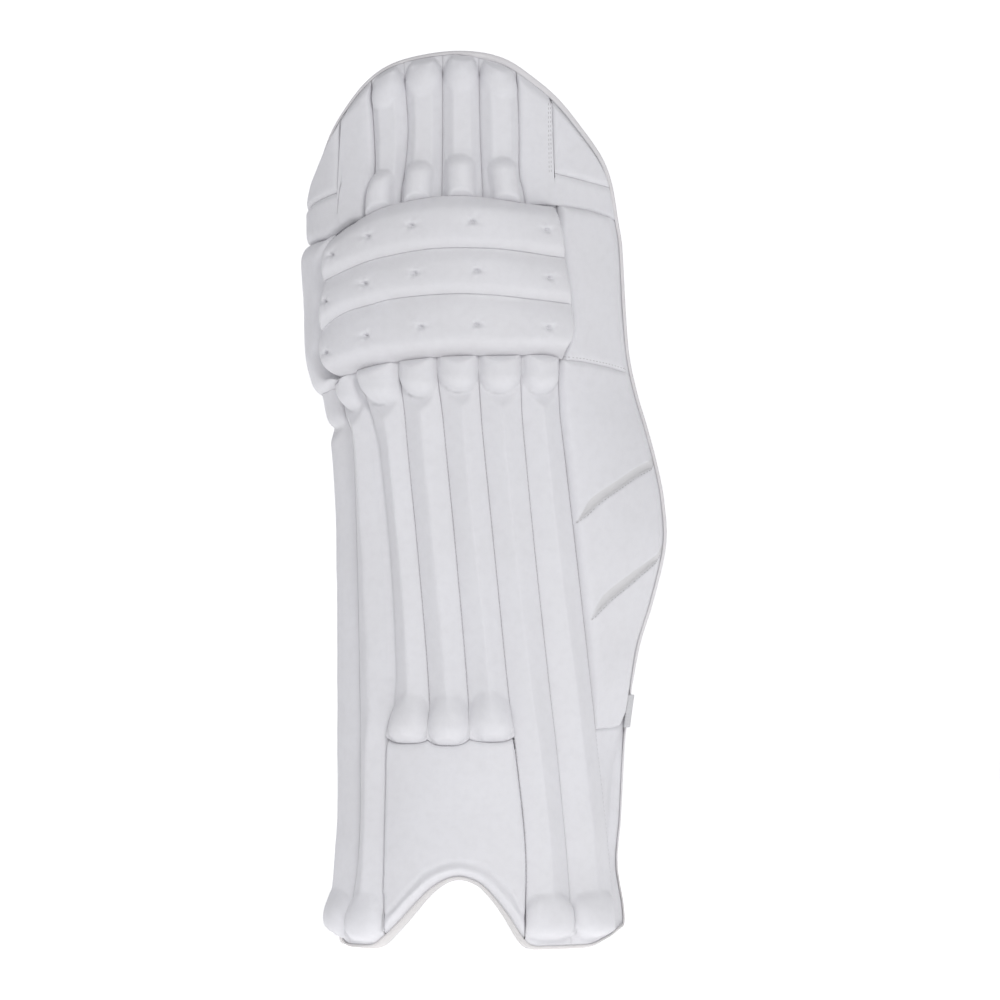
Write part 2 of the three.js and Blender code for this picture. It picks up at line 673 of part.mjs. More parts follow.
// Shares along a piece at given distances from its foot and its top, with even steps between.
function alongPiece(length, fromFoot, fromTop, steps) {
  const low = fromFoot.map((distance) => distance / length);
  const high = fromTop.map((distance) => 1 - distance / length).toReversed();
  const between = evenly(steps).slice(1, -1).map((s) => THREE.MathUtils.lerp(low.at(-1), high[0], s));
  return [...low, ...between, ...high];
}

// The shin canes go up to the lower bolster, and left of it to the knee flap.
const cornerRows = FLAP_CORNER.map((row) => ({
  turn: turnAt(row.across, row.level, ROLL_SHOULDER),
  level: row.level,
}));
const corner = [{ turn: -FLANK_WRAP_TURN, level: FLAP_CORNER[0].level }, ...cornerRows.slice(1)];
function caneTop(turn) {
  const atCorner = readLine(corner, 'turn', 'level', turn);
  return turn < corner.at(-1).turn ? atCorner : Math.max(atCorner, rollSeam('lower')(turn));
}

SHIN_CANES.forEach((cane, index) => {
  const VALLEY_SEAM = 1;
  const left = shinSeam(index - 1, index - 1 === VALLEY_SEAM ? VALLEY_WIDTH / 2 : 0);
  const right = shinSeam(index, index === VALLEY_SEAM ? -VALLEY_WIDTH / 2 : 0);
  const stopsHigh = cane.foot > INSTEP_TOP_LEVEL;
  const foot = stopsHigh ? () => cane.foot : (turn) => Math.max(cane.foot, innerFoot(turn));
  const top = caneTop;
  const capCentre = cane.capEnd * PAD_HEIGHT + CAP_END;
  const boxed = cane.form === 'box';
  const footReach = boxed ? BOX_CAP_REACH : BULB_REACH;
  const capForm = { up: Infinity, down: CAP_END, wide: 1.04, square: 2, rise: CAP_RISE };
  const footForm = { up: footReach, down: footReach, wide: 1.04, square: boxed ? 3.5 : 2.2, rise: BULB_RISE };
  const footCentre = cane.foot * PAD_HEIGHT + footReach * 0.93;
  const rise = (u, v, turn, level) => {
    const height = level * PAD_HEIGHT;
    const cap = bump(u, height, capCentre, capForm);
    const end = bump(u, height, footCentre, footForm);
    const fade = Math.min(1, (height - cane.foot * PAD_HEIGHT) / PANEL_EDGE);
    const strip = THREE.MathUtils.lerp(CANE_EDGE, ridge(u), Math.max(0, fade));
    return Math.max(strip, cap, end);
  };
  const length = (top(0) - cane.foot) * PAD_HEIGHT;
  const fromFoot = [0, footReach * 0.25, footReach * 0.9, footReach * 1.6, footReach * 1.95];
  const capLength = (top(left(0.6)) - cane.capEnd) * PAD_HEIGHT;
  const fromTop = [0, capLength - CAP_END * 0.9, capLength - CAP_END * 0.35, capLength + CAP_END * 0.06];
  paddedPiece(`shin_cane_${index + 1}`, { left, right, foot, top }, rise, {
    across: CANE_ACROSS,
    along: alongPiece(length, fromFoot, fromTop, stopsHigh ? 4 : 6),
    underAcross: evenly(index < 2 ? 4 : stopsHigh ? 2 : 3),
    underAlong: evenly(stopsHigh ? 7 : 14),
  });
});

// Short canes above the knee, each with a cap at the top and a thumb-shaped bump at its foot
const topSeam = (column) => (level) => turnAt(readTable(TOP_SEAMS, 'level', column, level), level);
THUMB_TIPS.forEach((tip, index) => {
  const rise = (u, v, turn, level) => {
    const height = level * PAD_HEIGHT;
    const crown = innerTop(turn) * PAD_HEIGHT;
    const capForm = { up: TOP_CAP_REACH, down: TOP_CAP_REACH, wide: 1.04, square: 2, rise: TOP_CAP_RISE };
    const thumbForm = { up: THUMB_REACH, down: Infinity, wide: 0.86, square: 2, rise: THUMB_RISE };
    const cap = bump(u, height, crown - TOP_CAP_REACH * 0.93, capForm);
    const thumb = bump(u, height, tip * PAD_HEIGHT - THUMB_REACH, thumbForm);
    return Math.max(ridge(u), cap, thumb);
  };
  const left = topSeam(seamKeys[index]);
  const right = topSeam(seamKeys[index + 1]);
  const middle = (left(0.9) + right(0.9)) / 2;
  const length = (innerTop(middle) - rollSeam('upper')(middle)) * PAD_HEIGHT;
  const thumbLength = (tip - rollSeam('upper')(middle)) * PAD_HEIGHT;
  const fromFoot = [0, thumbLength - THUMB_REACH, thumbLength - THUMB_REACH * 0.35, thumbLength + THUMB_REACH * 0.07];
  const fromTop = [0, TOP_CAP_REACH * 0.3, TOP_CAP_REACH, TOP_CAP_REACH * 1.6, TOP_CAP_REACH * 1.95];
  paddedPiece(`top_cane_${index + 1}`, { left, right, foot: rollSeam('upper'), top: innerTop }, rise, {
    across: CANE_ACROSS,
    along: alongPiece(length, fromFoot, fromTop, 2),
    underAcross: evenly(2),
    underAlong: evenly(4),
  });
});

// A plain padded panel. The distances to its rim are measured through its middle.
function panel(name, edges, thickness, across, along) {
  const at = (u, v) => {
    const { turn, level } = spotBetween(edges, u, v);
    return placed(turn, level, 0);
  };
  const width = at(0, 0.5).distanceTo(at(1, 0.5));
  const length = at(0.5, 0).distanceTo(at(0.5, 1));
  const rise = (u, v) => cushion(PANEL_EDGE, thickness, rimDistance(u, v, width, length), PAD_SOFTNESS);
  paddedPiece(name, edges, rise, { across, along, underAcross: across, underAlong: along });
}

// L-shaped bands beside the short canes, and the corner panels outside them
const SOFT_ALONG = [0, 0.1, 0.3, 0.5, 0.7, 0.9, 1];
const LEFT_BAND_TURN = -1;
const RIGHT_BAND_TURN = 0.93;
const flankSide = () => -FLANK_COVER_TURN;
function bandTop(band, outward) {
  const corner = turnAt(band.across, band.cornerLevel);
  const CORNER_STEP = 0.012;
  return (turn) => {
    const past = outward * (turn - corner);
    if (past <= 0) {
      return innerTop(turn);
    }
    const toEdge = Math.min(1, past / (1 - outward * corner));
    const level = THREE.MathUtils.lerp(band.cornerLevel, band.outerLevel, toEdge);
    const bent = THREE.MathUtils.lerp(innerTop(turn), level, Math.min(1, past / CORNER_STEP));
    return Math.min(bent, innerTop(turn));
  };
}
const leftCorner = turnAt(LEFT_BAND.across, LEFT_BAND.cornerLevel);
const rightCorner = turnAt(RIGHT_BAND.across, RIGHT_BAND.cornerLevel);
const leftBandTop = bandTop(LEFT_BAND, -1);
const rightBandTop = bandTop(RIGHT_BAND, 1);
const leftFootRows = LEFT_BAND_FOOT.map((row) => ({ turn: turnAt(row.across, row.level), level: row.level }));
const rightFootRows = RIGHT_BAND_FOOT.map((row) => ({ turn: turnAt(row.across, row.level), level: row.level }));
const rollLeftTop = rollTurns[0].turn;
const rollRightTop = rollSide('right')(RIGHT_BAND_FOOT[0].level);
const leftBandFoot = (turn) => Math.max(readLine(leftFootRows, 'turn', 'level', turn),
  turn > rollLeftTop ? rollSeam('upper')(turn) : 0);
const rightBandFoot = (turn) => Math.max(readLine(rightFootRows, 'turn', 'level', turn),
  turn < rollRightTop ? rollSeam('upper')(turn) : 0);

function acrossThrough(from, to, marks) {
  const shares = marks.map((turn) => (turn - from) / (to - from));
  return [...new Set([0, ...shares, 1])].sort((a, b) => a - b);
}

const firstTopSeam = topSeam('one');
const lastTopSeam = topSeam('five');
panel('top_band_left', {
  left: () => LEFT_BAND_TURN,
  right: firstTopSeam,
  foot: leftBandFoot,
  top: leftBandTop,
}, PANEL_THICKNESS, acrossThrough(LEFT_BAND_TURN, firstTopSeam(0.85), [
  -0.95, -0.9, -0.82, -0.74, leftCorner - 0.014, leftCorner, leftCorner + 0.05, leftCorner + 0.12,
]), SOFT_ALONG);
panel('top_band_right', {
  left: lastTopSeam,
  right: () => RIGHT_BAND_TURN,
  foot: rightBandFoot,
  top: rightBandTop,
}, PANEL_THICKNESS, acrossThrough(lastTopSeam(0.9), RIGHT_BAND_TURN, [
  0.48, rightCorner - 0.03, rightCorner, rightCorner + 0.014, 0.65, 0.78, 0.88,
]), SOFT_ALONG);
panel('corner_panel_left', {
  left: () => -0.965,
  right: () => leftCorner - 0.014,
  foot: (turn) => leftBandTop(turn) + SEAM_GAP / PAD_HEIGHT,
  top: innerTop,
}, PANEL_THICKNESS, SOFT_ALONG, SOFT_ALONG);
panel('corner_panel_right', {
  left: () => rightCorner + 0.02,
  right: () => 0.915,
  foot: (turn) => rightBandTop(turn) + SEAM_GAP / PAD_HEIGHT,
  top: innerTop,
}, PANEL_THICKNESS, SOFT_ALONG, SOFT_ALONG);

// Knee flap on the left and knee wing on the right of the bolsters
const beside = (edge, side) => (level) => edge(level) + side * SIDE_SEAM_GAP / girthAt(edge(level), level);
panel('knee_flap', {
  left: flankSide,
  right: beside(rollSide('left'), -1),
  foot: caneTop,
  top: (turn) => Math.min(readLine(leftFootRows, 'turn', 'level', turn), innerTop(turn)),
}, FLAP_THICKNESS, evenly(5), evenly(10));

const wingSeamRows = WING_SEAM.map((row) => ({ turn: turnAt(row.across, row.level), level: row.level }));
const wingSeam = (turn) => readLine(wingSeamRows, 'turn', 'level', turn);
panel('knee_wing', {
  left: (level) => Math.max(beside(rollSide('right'), 1)(level), shinSeam(6, SEAM_GAP)(level)),
  right: wingSide,
  foot: wingSeam,
  top: (turn) => readLine(rightFootRows, 'turn', 'level', turn),
}, WING_THICKNESS, [0, 0.12, 0.35, 0.65, 0.88, 1], evenly(8));

// Shin wing, with two pressed grooves that run up to its edge
function shinWing() {
  const innerSide = shinSeam(6, 0);
  const lines = WING_LINES;
  const across = [0, 0.08, 0.3, 0.55, 0.8, 0.93, 1];
  const sheet = (shares, rows, riseAt) => rows.map((line, row) => shares.map((u) => {
    let level = THREE.MathUtils.lerp(line.inner, line.outer, u);
    const from = innerSide(level);
    const to = wingSide(level);
    const gap = SEAM_GAP / 2 / girthAt(to, level);
    const turn = THREE.MathUtils.lerp(from + gap, to - gap, u);
    if (row === rows.length - 1) {
      level = wingSeam(turn) - SEAM_GAP / PAD_HEIGHT;
    }
    return placed(turn, level, riseAt(u, row));
  }));
  const rise = (u, row) => {
    const atEnd = row === 0 || row === lines.length - 1;
    const side = Math.min(u, 1 - u) * PAD_WIDTH / 4;
    const full = WING_THICKNESS - GROOVE_DEPTH * lines[row].sunk;
    return atEnd ? PANEL_EDGE : cushion(PANEL_EDGE, full, side, PAD_SOFTNESS);
  };
  const outer = sheet(across, lines, rise);
  const inner = sheet(across, lines, () => SEAT_GAP);
  addPiece('shin_wing', closedSheets(outer, inner), 'leather');
}
shinWing();

// Instep panel and the raised lip along the arch
const lipLevel = insideEdge(footLevel, 1, RIM_MARGIN + LIP_WIDTH);
const LIP_COLUMNS = 12;
const lipLeft = (level) => shinSeam(1, SEAM_GAP / 2)(level);
const lipRight = (level) => shinSeam(4, -SEAM_GAP / 2)(level);
panel('instep_panel', {
  left: lipLeft,
  right: lipRight,
  foot: lipLevel,
  top: () => INSTEP_TOP_LEVEL,
}, INSTEP_THICKNESS, evenly(LIP_COLUMNS), [0, 0.1, 0.28, 0.46, 0.64, 0.82, 0.94, 1]);
panel('arch_lip', {
  left: lipLeft,
  right: lipRight,
  foot: innerFoot,
  top: lipLevel,
}, LIP_THICKNESS, evenly(LIP_COLUMNS), evenly(4));

// Straps: each is sewn inside the flank and to the wing, and goes round behind the leg.
function strapLine(strap, level) {
  const depth = -(BACKING_THICKNESS + STRAP_GAP + STRAP_THICKNESS / 2);
  const inside = (sewn) => evenly(3).map((s) => placed(THREE.MathUtils.lerp(sewn.from, sewn.to, s), level, depth));
  const overEdge = () => evenly(3).map((s) => {
    const { outward } = bodyAt(1, level);
    const beyond = new THREE.Vector3(-outward.y, outward.x, 0);
    return placed(1, level, depth * s).addScaledVector(beyond, STRAP_GAP + STRAP_THICKNESS / 2);
  });
  const left = inside(FLANK_SEWN);
  const right = strap.onEdge ? overEdge() : inside(WING_SEWN);
  const leave = (line) => line.at(-1).clone().sub(line.at(-2)).setLength(STRAP_SLACK);
  const leftOut = left.at(-1).clone().add(leave(left));
  const rightOut = right.at(-1).clone().add(leave(right));
  const behind = new THREE.CubicBezierCurve3(left.at(-1), leftOut, rightOut, right.at(-1));
  return [...left, ...behind.getPoints(16).slice(1, -1), ...right.toReversed()];
}
function strapSheet(strap, side) {
  return [-1, 1].map((end) => {
    const level = strap.level + end * strap.width / 2 / PAD_HEIGHT;
    const line = strapLine(strap, level);
    return line.map((point, i) => {
      const before = line[Math.max(i - 1, 0)];
      const after = line[Math.min(i + 1, line.length - 1)];
      const along = after.clone().sub(before).setZ(0).normalize();
      const square = new THREE.Vector3(along.y, -along.x, 0);
      return point.clone().addScaledVector(square, side * STRAP_THICKNESS / 2);
    });
  });
}
for (const strap of STRAPS) {
  addPiece(strap.name, closedSheets(strapSheet(strap, 1), strapSheet(strap, -1)), 'webbing');
}

// The pad stands with the middle of its box over the origin.
const box = new THREE.Box3().setFromObject(pad);
const middle = box.getCenter(new THREE.Vector3());
pad.position.set(-middle.x, -middle.y, -box.min.z);

export default pad;
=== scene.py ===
# %% [markdown]
# # A cricket batting pad, piece by piece
# A batting pad is a C-shaped padded back that goes round the shin. Ridged canes, knee
# bolsters, wings and panels of smooth white leather lie on it, and a folded binding goes
# round its rim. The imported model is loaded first, because every piece has to lie where it says.

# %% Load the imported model
import json
import math
from types import SimpleNamespace
import bpy
import numpy as np
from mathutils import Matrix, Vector, noise
from mathutils.bvhtree import BVHTree
from mathutils.kdtree import KDTree

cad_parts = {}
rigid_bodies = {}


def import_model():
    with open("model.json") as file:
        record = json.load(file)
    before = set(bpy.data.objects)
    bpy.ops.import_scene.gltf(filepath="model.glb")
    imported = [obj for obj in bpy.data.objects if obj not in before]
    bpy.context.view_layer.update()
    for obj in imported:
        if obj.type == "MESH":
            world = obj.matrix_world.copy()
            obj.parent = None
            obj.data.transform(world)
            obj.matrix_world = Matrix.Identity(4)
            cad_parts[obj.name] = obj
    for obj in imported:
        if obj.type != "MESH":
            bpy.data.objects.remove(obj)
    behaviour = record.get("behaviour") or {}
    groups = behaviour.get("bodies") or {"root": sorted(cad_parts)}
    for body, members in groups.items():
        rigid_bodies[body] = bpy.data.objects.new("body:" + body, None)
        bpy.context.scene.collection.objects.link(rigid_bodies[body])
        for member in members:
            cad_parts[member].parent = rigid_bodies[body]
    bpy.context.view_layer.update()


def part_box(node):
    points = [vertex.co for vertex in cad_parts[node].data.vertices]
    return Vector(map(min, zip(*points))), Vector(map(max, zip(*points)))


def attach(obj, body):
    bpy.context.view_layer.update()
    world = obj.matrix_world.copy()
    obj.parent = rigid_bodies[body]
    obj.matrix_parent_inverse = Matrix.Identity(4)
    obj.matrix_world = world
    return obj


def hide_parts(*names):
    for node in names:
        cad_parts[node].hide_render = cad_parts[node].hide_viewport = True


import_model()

# %% [markdown]
# ## Camera
# The photograph is taken straight from the front with a long lens: it shows hardly any
# perspective. A pixel of it is 0.758 mm at the pad, and the pad stands a little left of its
# middle. A camera far off at the height of the picture's middle needs no shift.

# %% Place the camera
CAMERA_DISTANCE = 7.0
PICTURE_SPAN = 0.7622
PICTURE_MIDDLE_HEIGHT = 0.3396
PICTURE_MIDDLE_ACROSS = 0.0111
SENSOR_WIDTH = 36.0

bpy.ops.object.select_all(action="DESELECT")
bpy.ops.object.camera_add(
    location=(PICTURE_MIDDLE_ACROSS, -CAMERA_DISTANCE, PICTURE_MIDDLE_HEIGHT),
    rotation=(math.radians(90), 0, 0),
)
camera = bpy.context.object
camera.name = "front_camera"
camera.data.sensor_width = SENSOR_WIDTH
camera.data.lens = SENSOR_WIDTH * CAMERA_DISTANCE / PICTURE_SPAN
bpy.context.scene.camera = camera
bpy.context.scene.view_settings.view_transform = "Standard"
print("lens", round(camera.data.lens, 1), "mm")

# %% [markdown]
# ## Light
# The pad is lit from the front by one large soft lamp a little to the right of the camera,
# so the faces turned to the camera are the brightest. A weak lamp from the left, one from
# behind and a pale sky fill the shadows.

# %% Hang the lamps
LAMPS = [
    # name, location, aim, size, watts
    ("key_lamp", (0.75, -2.8, 1.9), (0.0, 0.0, 0.36), 0.8, 30),
    ("fill_lamp", (-2.2, -2.4, 1.2), (0.0, 0.0, 0.34), 1.6, 3),
    ("back_lamp", (1.2, 2.4, 2.2), (0.0, 0.0, 0.34), 1.8, 14),
]
for name, place, aim, size, watts in LAMPS:
    turn_to = (Vector(aim) - Vector(place)).to_track_quat("-Z", "Y").to_euler()
    bpy.ops.object.light_add(type="AREA", location=place, rotation=turn_to)
    lamp = bpy.context.object
    lamp.name = name
    lamp.data.shape = "DISK"
    lamp.data.size = size
    lamp.data.energy = watts

sky = bpy.data.worlds.new("pale_sky")
sky.use_nodes = True
sky.node_tree.nodes["Background"].inputs["Color"].default_value = (0.96, 0.96, 1.0, 1)
sky.node_tree.nodes["Background"].inputs["Strength"].default_value = 0.4
bpy.context.scene.world = sky

# %% [markdown]
# ## Finishes
# Nearly everything shows the same white coated leather: smooth, half-matt, with a fine
# pebbled grain, faint creases, and dirt and painted shade down in the seams. Each finish is
# made of noise and cells in the shader, in metres, so its grain has a real size.

# %% Helpers for the finishes
def feed(tree, socket, value):
    """Links a socket to another node's, or sets its number or colour."""
    if isinstance(value, bpy.types.NodeSocket):
        tree.links.new(value, socket)
    else:
        socket.default_value = (*value, 1) if socket.type == "RGBA" else value


def add_node(tree, kind, **settings):
    """One shader node. Its sockets are fed by name, and its other settings are set."""
    made = tree.nodes.new(kind)
    for key, value in settings.items():
        if key in made.inputs:
            feed(tree, made.inputs[key], value)
        else:
            setattr(made, key, value)
    return made


def new_finish(name):
    finish = bpy.data.materials.new(name)
    finish.use_nodes = True
    tree = finish.node_tree
    return finish, tree, tree.nodes["Principled BSDF"]


def feed_all(tree, node, values):
    for name, value in values.items():
        feed(tree, node.inputs[name], value)


def object_place(tree):
    return add_node(tree, "ShaderNodeTexCoord").outputs["Object"]


def noise_of(tree, coords, scale, detail, roughness=0.55):
    """Smooth noise with that many lumps in a metre."""
    return add_node(tree, "ShaderNodeTexNoise", Vector=coords, Scale=scale, Detail=detail,
                    Roughness=roughness).outputs["Fac"]


def cells_of(tree, coords, scale):
    return add_node(tree, "ShaderNodeTexVoronoi", feature="SMOOTH_F1", Vector=coords, Scale=scale,
                    Smoothness=0.35).outputs["Distance"]


def mix_colours(tree, share, first, second):
    """first where share is 0, second where it is 1. Each may be a colour or a socket."""
    made = add_node(tree, "ShaderNodeMix", data_type="RGBA")
    for name, kind, value in (("A", "RGBA", first), ("B", "RGBA", second), ("Factor", "VALUE", share)):
        feed(tree, next(s for s in made.inputs if (s.name, s.type) == (name, kind)), value)
    return next(s for s in made.outputs if s.type == "RGBA")


def ranged(tree, value, low, high, to_low, to_high):
    """A socket's value between low and high, spread from one new value to the other."""
    ends = {"From Min": low, "From Max": high, "To Min": to_low, "To Max": to_high}
    return add_node(tree, "ShaderNodeMapRange", Value=value, **ends).outputs["Result"]


def patches(tree, coords, scale, detail, *ends):
    """Noise whose values between the first two ends are spread between the last two."""
    return ranged(tree, noise_of(tree, coords, scale, detail), *ends)


def combined(tree, operation, first, second=0.0):
    made = add_node(tree, "ShaderNodeMath", operation=operation)
    for socket, value in zip(made.inputs, (first, second)):
        feed(tree, socket, value)
    return made.outputs["Value"]


def add_bumps(tree, bsdf, *layers):
    """Relief in layers of (height socket, depth in metres, strength), one on another."""
    below = {}
    for height, depth, strength in layers:
        bump = add_node(tree, "ShaderNodeBump", Distance=depth, Strength=strength, Height=height, **below)
        below = {"Normal": bump.outputs["Normal"]}
    feed_all(tree, bsdf, below)


# %% [markdown]
# ### White leather
# Pebbled cells of about a millimetre carry the grain, a middle noise the creases, and a
# wide one the slight clouding of a handled white surface. Every piece carries an attribute
# called seam, which is 1 at its sewn rim and fades to 0 inwards: there the leather is
# darkened in patches, partly as dirt and partly as painted shade.

# %% Mix the leather
LEATHER_COLOURS = [
    # white, clouded, at the seams (dirt and painted shade), and pressed in (also painted shade on the
    # binding)
    (0.800, 0.799, 0.824), (0.768, 0.765, 0.784), (0.600, 0.590, 0.605), (0.690, 0.684, 0.690),
]
LEATHER_GLOSS = {"Specular IOR Level": 0.42, "Sheen Weight": 0.06, "Sheen Roughness": 0.5}


def make_leather(name, grain_scale, roughness, tint=(1.0, 1.0, 1.0), grain_depth=0.00009):
    finish, tree, bsdf = new_finish(name)
    white, clouded, seam_shade, inlay_shade = (
        tuple(c * t for c, t in zip(colour, tint)) for colour in LEATHER_COLOURS)
    coords = object_place(tree)
    seam, inlay_and_painted_shade = (add_node(tree, "ShaderNodeAttribute", attribute_name=key).outputs["Fac"]
                   for key in ("seam", "inlay_and_painted_shade"))
    cloud = patches(tree, coords, 11, 4, 0.35, 0.68, 0, 1)
    fleck = patches(tree, coords, 160, 2, 0.42, 0.75, 0, 0.5)
    patchy_dirt_and_shade = patches(tree, coords, 42, 3, 0.3, 0.7, 0.2, 0.5)
    base = mix_colours(tree, cloud, white, clouded)
    base = mix_colours(tree, combined(tree, "MULTIPLY", fleck, 0.25), base, seam_shade)
    # painted shade and dirt: darker towards each piece's sewn rims, in patches
    base = mix_colours(tree, combined(tree, "MULTIPLY", seam, patchy_dirt_and_shade), base, seam_shade)
    # the pressed bands' own darker colour, and painted shade on the binding near the floor
    base = mix_colours(tree, inlay_and_painted_shade, base, inlay_shade)
    worn = patches(tree, coords, 35, 3, 0.3, 0.7, roughness - 0.05, roughness + 0.07)
    feed_all(tree, bsdf, {"Base Color": base, "Roughness": worn, **LEATHER_GLOSS})
    add_bumps(
        tree, bsdf,
        (cells_of(tree, coords, grain_scale), grain_depth, 0.55),
        (noise_of(tree, coords, 210, 4), 0.0003, 0.16),
        (noise_of(tree, coords, 38, 3), 0.0011, 0.14),
    )
    return finish


leather = make_leather("white_leather", grain_scale=950, roughness=0.5)
binding_leather = make_leather("binding_leather", 1300, 0.46, tint=(1.0, 0.985, 0.965), grain_depth=0.00006)
print("leather finishes:", leather.name, binding_leather.name)

# %% [markdown]
# ### Cloth, webbing and thread
# The lining and the straps are woven. Their threads follow the piece, so they are drawn in
# its own UV map, which is in metres. Two crossed waves make a plain weave, and a wave of
# one thread across another makes the ribs of a strap.

# %% Weave the cloth
def wave_of(tree, parts, direction, threads_per_metre):
    """A sine of that many threads in a metre, along U or V, from 0 to 1."""
    turns = combined(tree, "MULTIPLY", parts.outputs[direction], threads_per_metre * 2 * math.pi)
    return ranged(tree, combined(tree, "SINE", turns), -1, 1, 0, 1)


def make_cloth(name, colour, shade, warp, weft, depth, roughness):
    finish, tree, bsdf = new_finish(name)
    coords = object_place(tree)
    cloth_map = add_node(tree, "ShaderNodeTexCoord").outputs["UV"]
    parts = add_node(tree, "ShaderNodeSeparateXYZ", Vector=cloth_map)
    threads = combined(tree, "MULTIPLY", wave_of(tree, parts, "X", warp), wave_of(tree, parts, "Y", weft))
    fuzz = noise_of(tree, coords, 900, 2)
    cloud = patches(tree, coords, 14, 3, 0.3, 0.7, 0, 0.5)
    base = mix_colours(tree, ranged(tree, threads, 0, 0.5, 0.75, 0), colour, shade)
    base = mix_colours(tree, cloud, base, tuple(c * 0.93 for c in colour))
    feed_all(tree, bsdf, {
        "Base Color": base, "Roughness": ranged(tree, fuzz, 0.3, 0.7, roughness - 0.06, roughness + 0.06),
        "Sheen Weight": 0.25, "Specular IOR Level": 0.2,
    })
    add_bumps(tree, bsdf, (threads, depth, 0.8), (fuzz, depth * 0.4, 0.3))
    return finish


lining_cloth = make_cloth("lining_cloth", (0.70, 0.70, 0.72), (0.50, 0.50, 0.53), 620, 620, 0.0003, 0.86)
webbing_cloth = make_cloth("strap_webbing", (0.76, 0.76, 0.77), (0.56, 0.56, 0.58), 420, 900, 0.0004, 0.8)

thread, thread_tree, thread_bsdf = new_finish("sewing_thread")
twist = noise_of(thread_tree, object_place(thread_tree), 2600, 2)
thread_colour = mix_colours(thread_tree, twist, (0.66, 0.65, 0.65), (0.44, 0.43, 0.44))
feed_all(thread_tree, thread_bsdf, {"Base Color": thread_colour, "Roughness": 0.7})
add_bumps(thread_tree, thread_bsdf, (twist, 0.0002, 0.5))
print("woven finishes:", lining_cloth.name, webbing_cloth.name, thread.name)

# %% [markdown]
# ## The body that everything lies on
# The pad's body is a curved sheet. A place on it has a turn, which says how far round the
# leg it is (0 in front, -1 at the left flank, 1 at the wing's edge), and a level, which is
# its share of the height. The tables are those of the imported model, in shares of its sizes,
# with some edges moved a little towards the photograph's. The lengths here are in
# millimetres until a mesh is made.

# %% Sizes and tables of the body
PAD_HEIGHT = 680
PAD_WIDTH = 278.5
WRAP_DEPTH = 84
BACKING_THICKNESS = 10
RIM_MARGIN = 1.3
WING_MARGIN = 1.5
SEAT_GAP = 0.9
CANE_EDGE = 3
FLANK_WRAP_TURN = 1.14
FLANK_COVER_TURN = 1.08
WING_CURVE = 2.4
PROBE = 0.01


def unit(value):
    """Keeps numbers between 0 and 1."""
    return np.clip(value, 0, 1)


def positive(value):
    return np.clip(value, 0, None)


def blend(low, high, share):
    """low where the share is 0, high where it is 1."""
    return low + (high - low) * share


def smooth_step(share):
    """Eases a share in and out, from 0 to 1."""
    return share * share * (3 - 2 * share)


def bell(distance, width):
    """1 in the middle, hardly anything two widths off."""
    return np.exp(-((distance / width) ** 2))


def table(names, *rows):
    """Rows of numbers as named columns."""
    return {name: np.array([row[i] for row in rows], float) for i, name in enumerate(names.split())}


BODY = table(
    "level left right crest front left_depth right_depth",
    (0.000, -0.388, 0.372, -0.018, -0.30, 1.00, 0.98),
    (0.040, -0.388, 0.370, -0.018, -0.29, 1.00, 0.98),
    (0.090, -0.378, 0.352, -0.018, -0.26, 1.00, 0.98),
    (0.140, -0.369, 0.361, -0.018, -0.21, 1.00, 0.97),
    (0.240, -0.369, 0.376, -0.018, -0.11, 1.00, 0.96),
    (0.330, -0.369, 0.413, -0.018, -0.04, 1.00, 0.96),
    (0.390, -0.369, 0.457, -0.020, -0.01, 1.00, 0.98),
    (0.450, -0.371, 0.489, -0.024, 0.00, 1.00, 0.99),
    (0.500, -0.375, 0.483, -0.031, 0.00, 1.00, 0.98),
    (0.540, -0.381, 0.464, -0.040, 0.00, 1.00, 0.96),
    (0.580, -0.391, 0.438, -0.051, 0.00, 1.00, 0.94),
    (0.620, -0.408, 0.409, -0.061, 0.00, 1.00, 0.92),
    (0.660, -0.427, 0.388, -0.071, 0.00, 0.99, 0.90),
    (0.700, -0.444, 0.379, -0.080, 0.00, 0.98, 0.88),
    (0.760, -0.458, 0.371, -0.092, 0.00, 0.95, 0.86),
    (0.820, -0.462, 0.364, -0.101, 0.02, 0.91, 0.83),
    (1.000, -0.461, 0.362, -0.109, 0.09, 0.78, 0.72),
)
SIDE_EASE = 0.005  # the sides stand a little further out in the picture than the sections say
BODY["left"] -= SIDE_EASE
BODY["right"] += SIDE_EASE
TOP_EDGE = table(
    "across level",
    (-0.477, 0.843), (-0.459, 0.877), (-0.429, 0.911), (-0.391, 0.937), (-0.336, 0.965),
    (-0.277, 0.983), (-0.194, 0.994), (-0.063, 1.000), (0.054, 0.992), (0.149, 0.967),
    (0.206, 0.947), (0.265, 0.918), (0.328, 0.882), (0.354, 0.853), (0.366, 0.824), (0.378, 0.795),
)
FOOT_EDGE = table(
    "across level",
    (-0.435, 0.037), (-0.420, 0.024), (-0.402, 0.010), (-0.385, 0.000), (-0.310, 0.000),
    (-0.287, 0.007), (-0.238, 0.026), (-0.200, 0.043), (-0.150, 0.064), (-0.102, 0.076),
    (-0.063, 0.078), (-0.011, 0.068), (0.051, 0.039), (0.091, 0.014), (0.125, 0.000),
    (0.290, 0.000), (0.325, 0.006), (0.350, 0.011), (0.364, 0.015), (0.371, 0.019),
)
WRAPPED_TOP = [(-FLANK_WRAP_TURN, 0.780)]
WRAPPED_FOOT = [(-FLANK_WRAP_TURN, 0.0), (-1.05, 0.0), (-0.99, 0.011)]


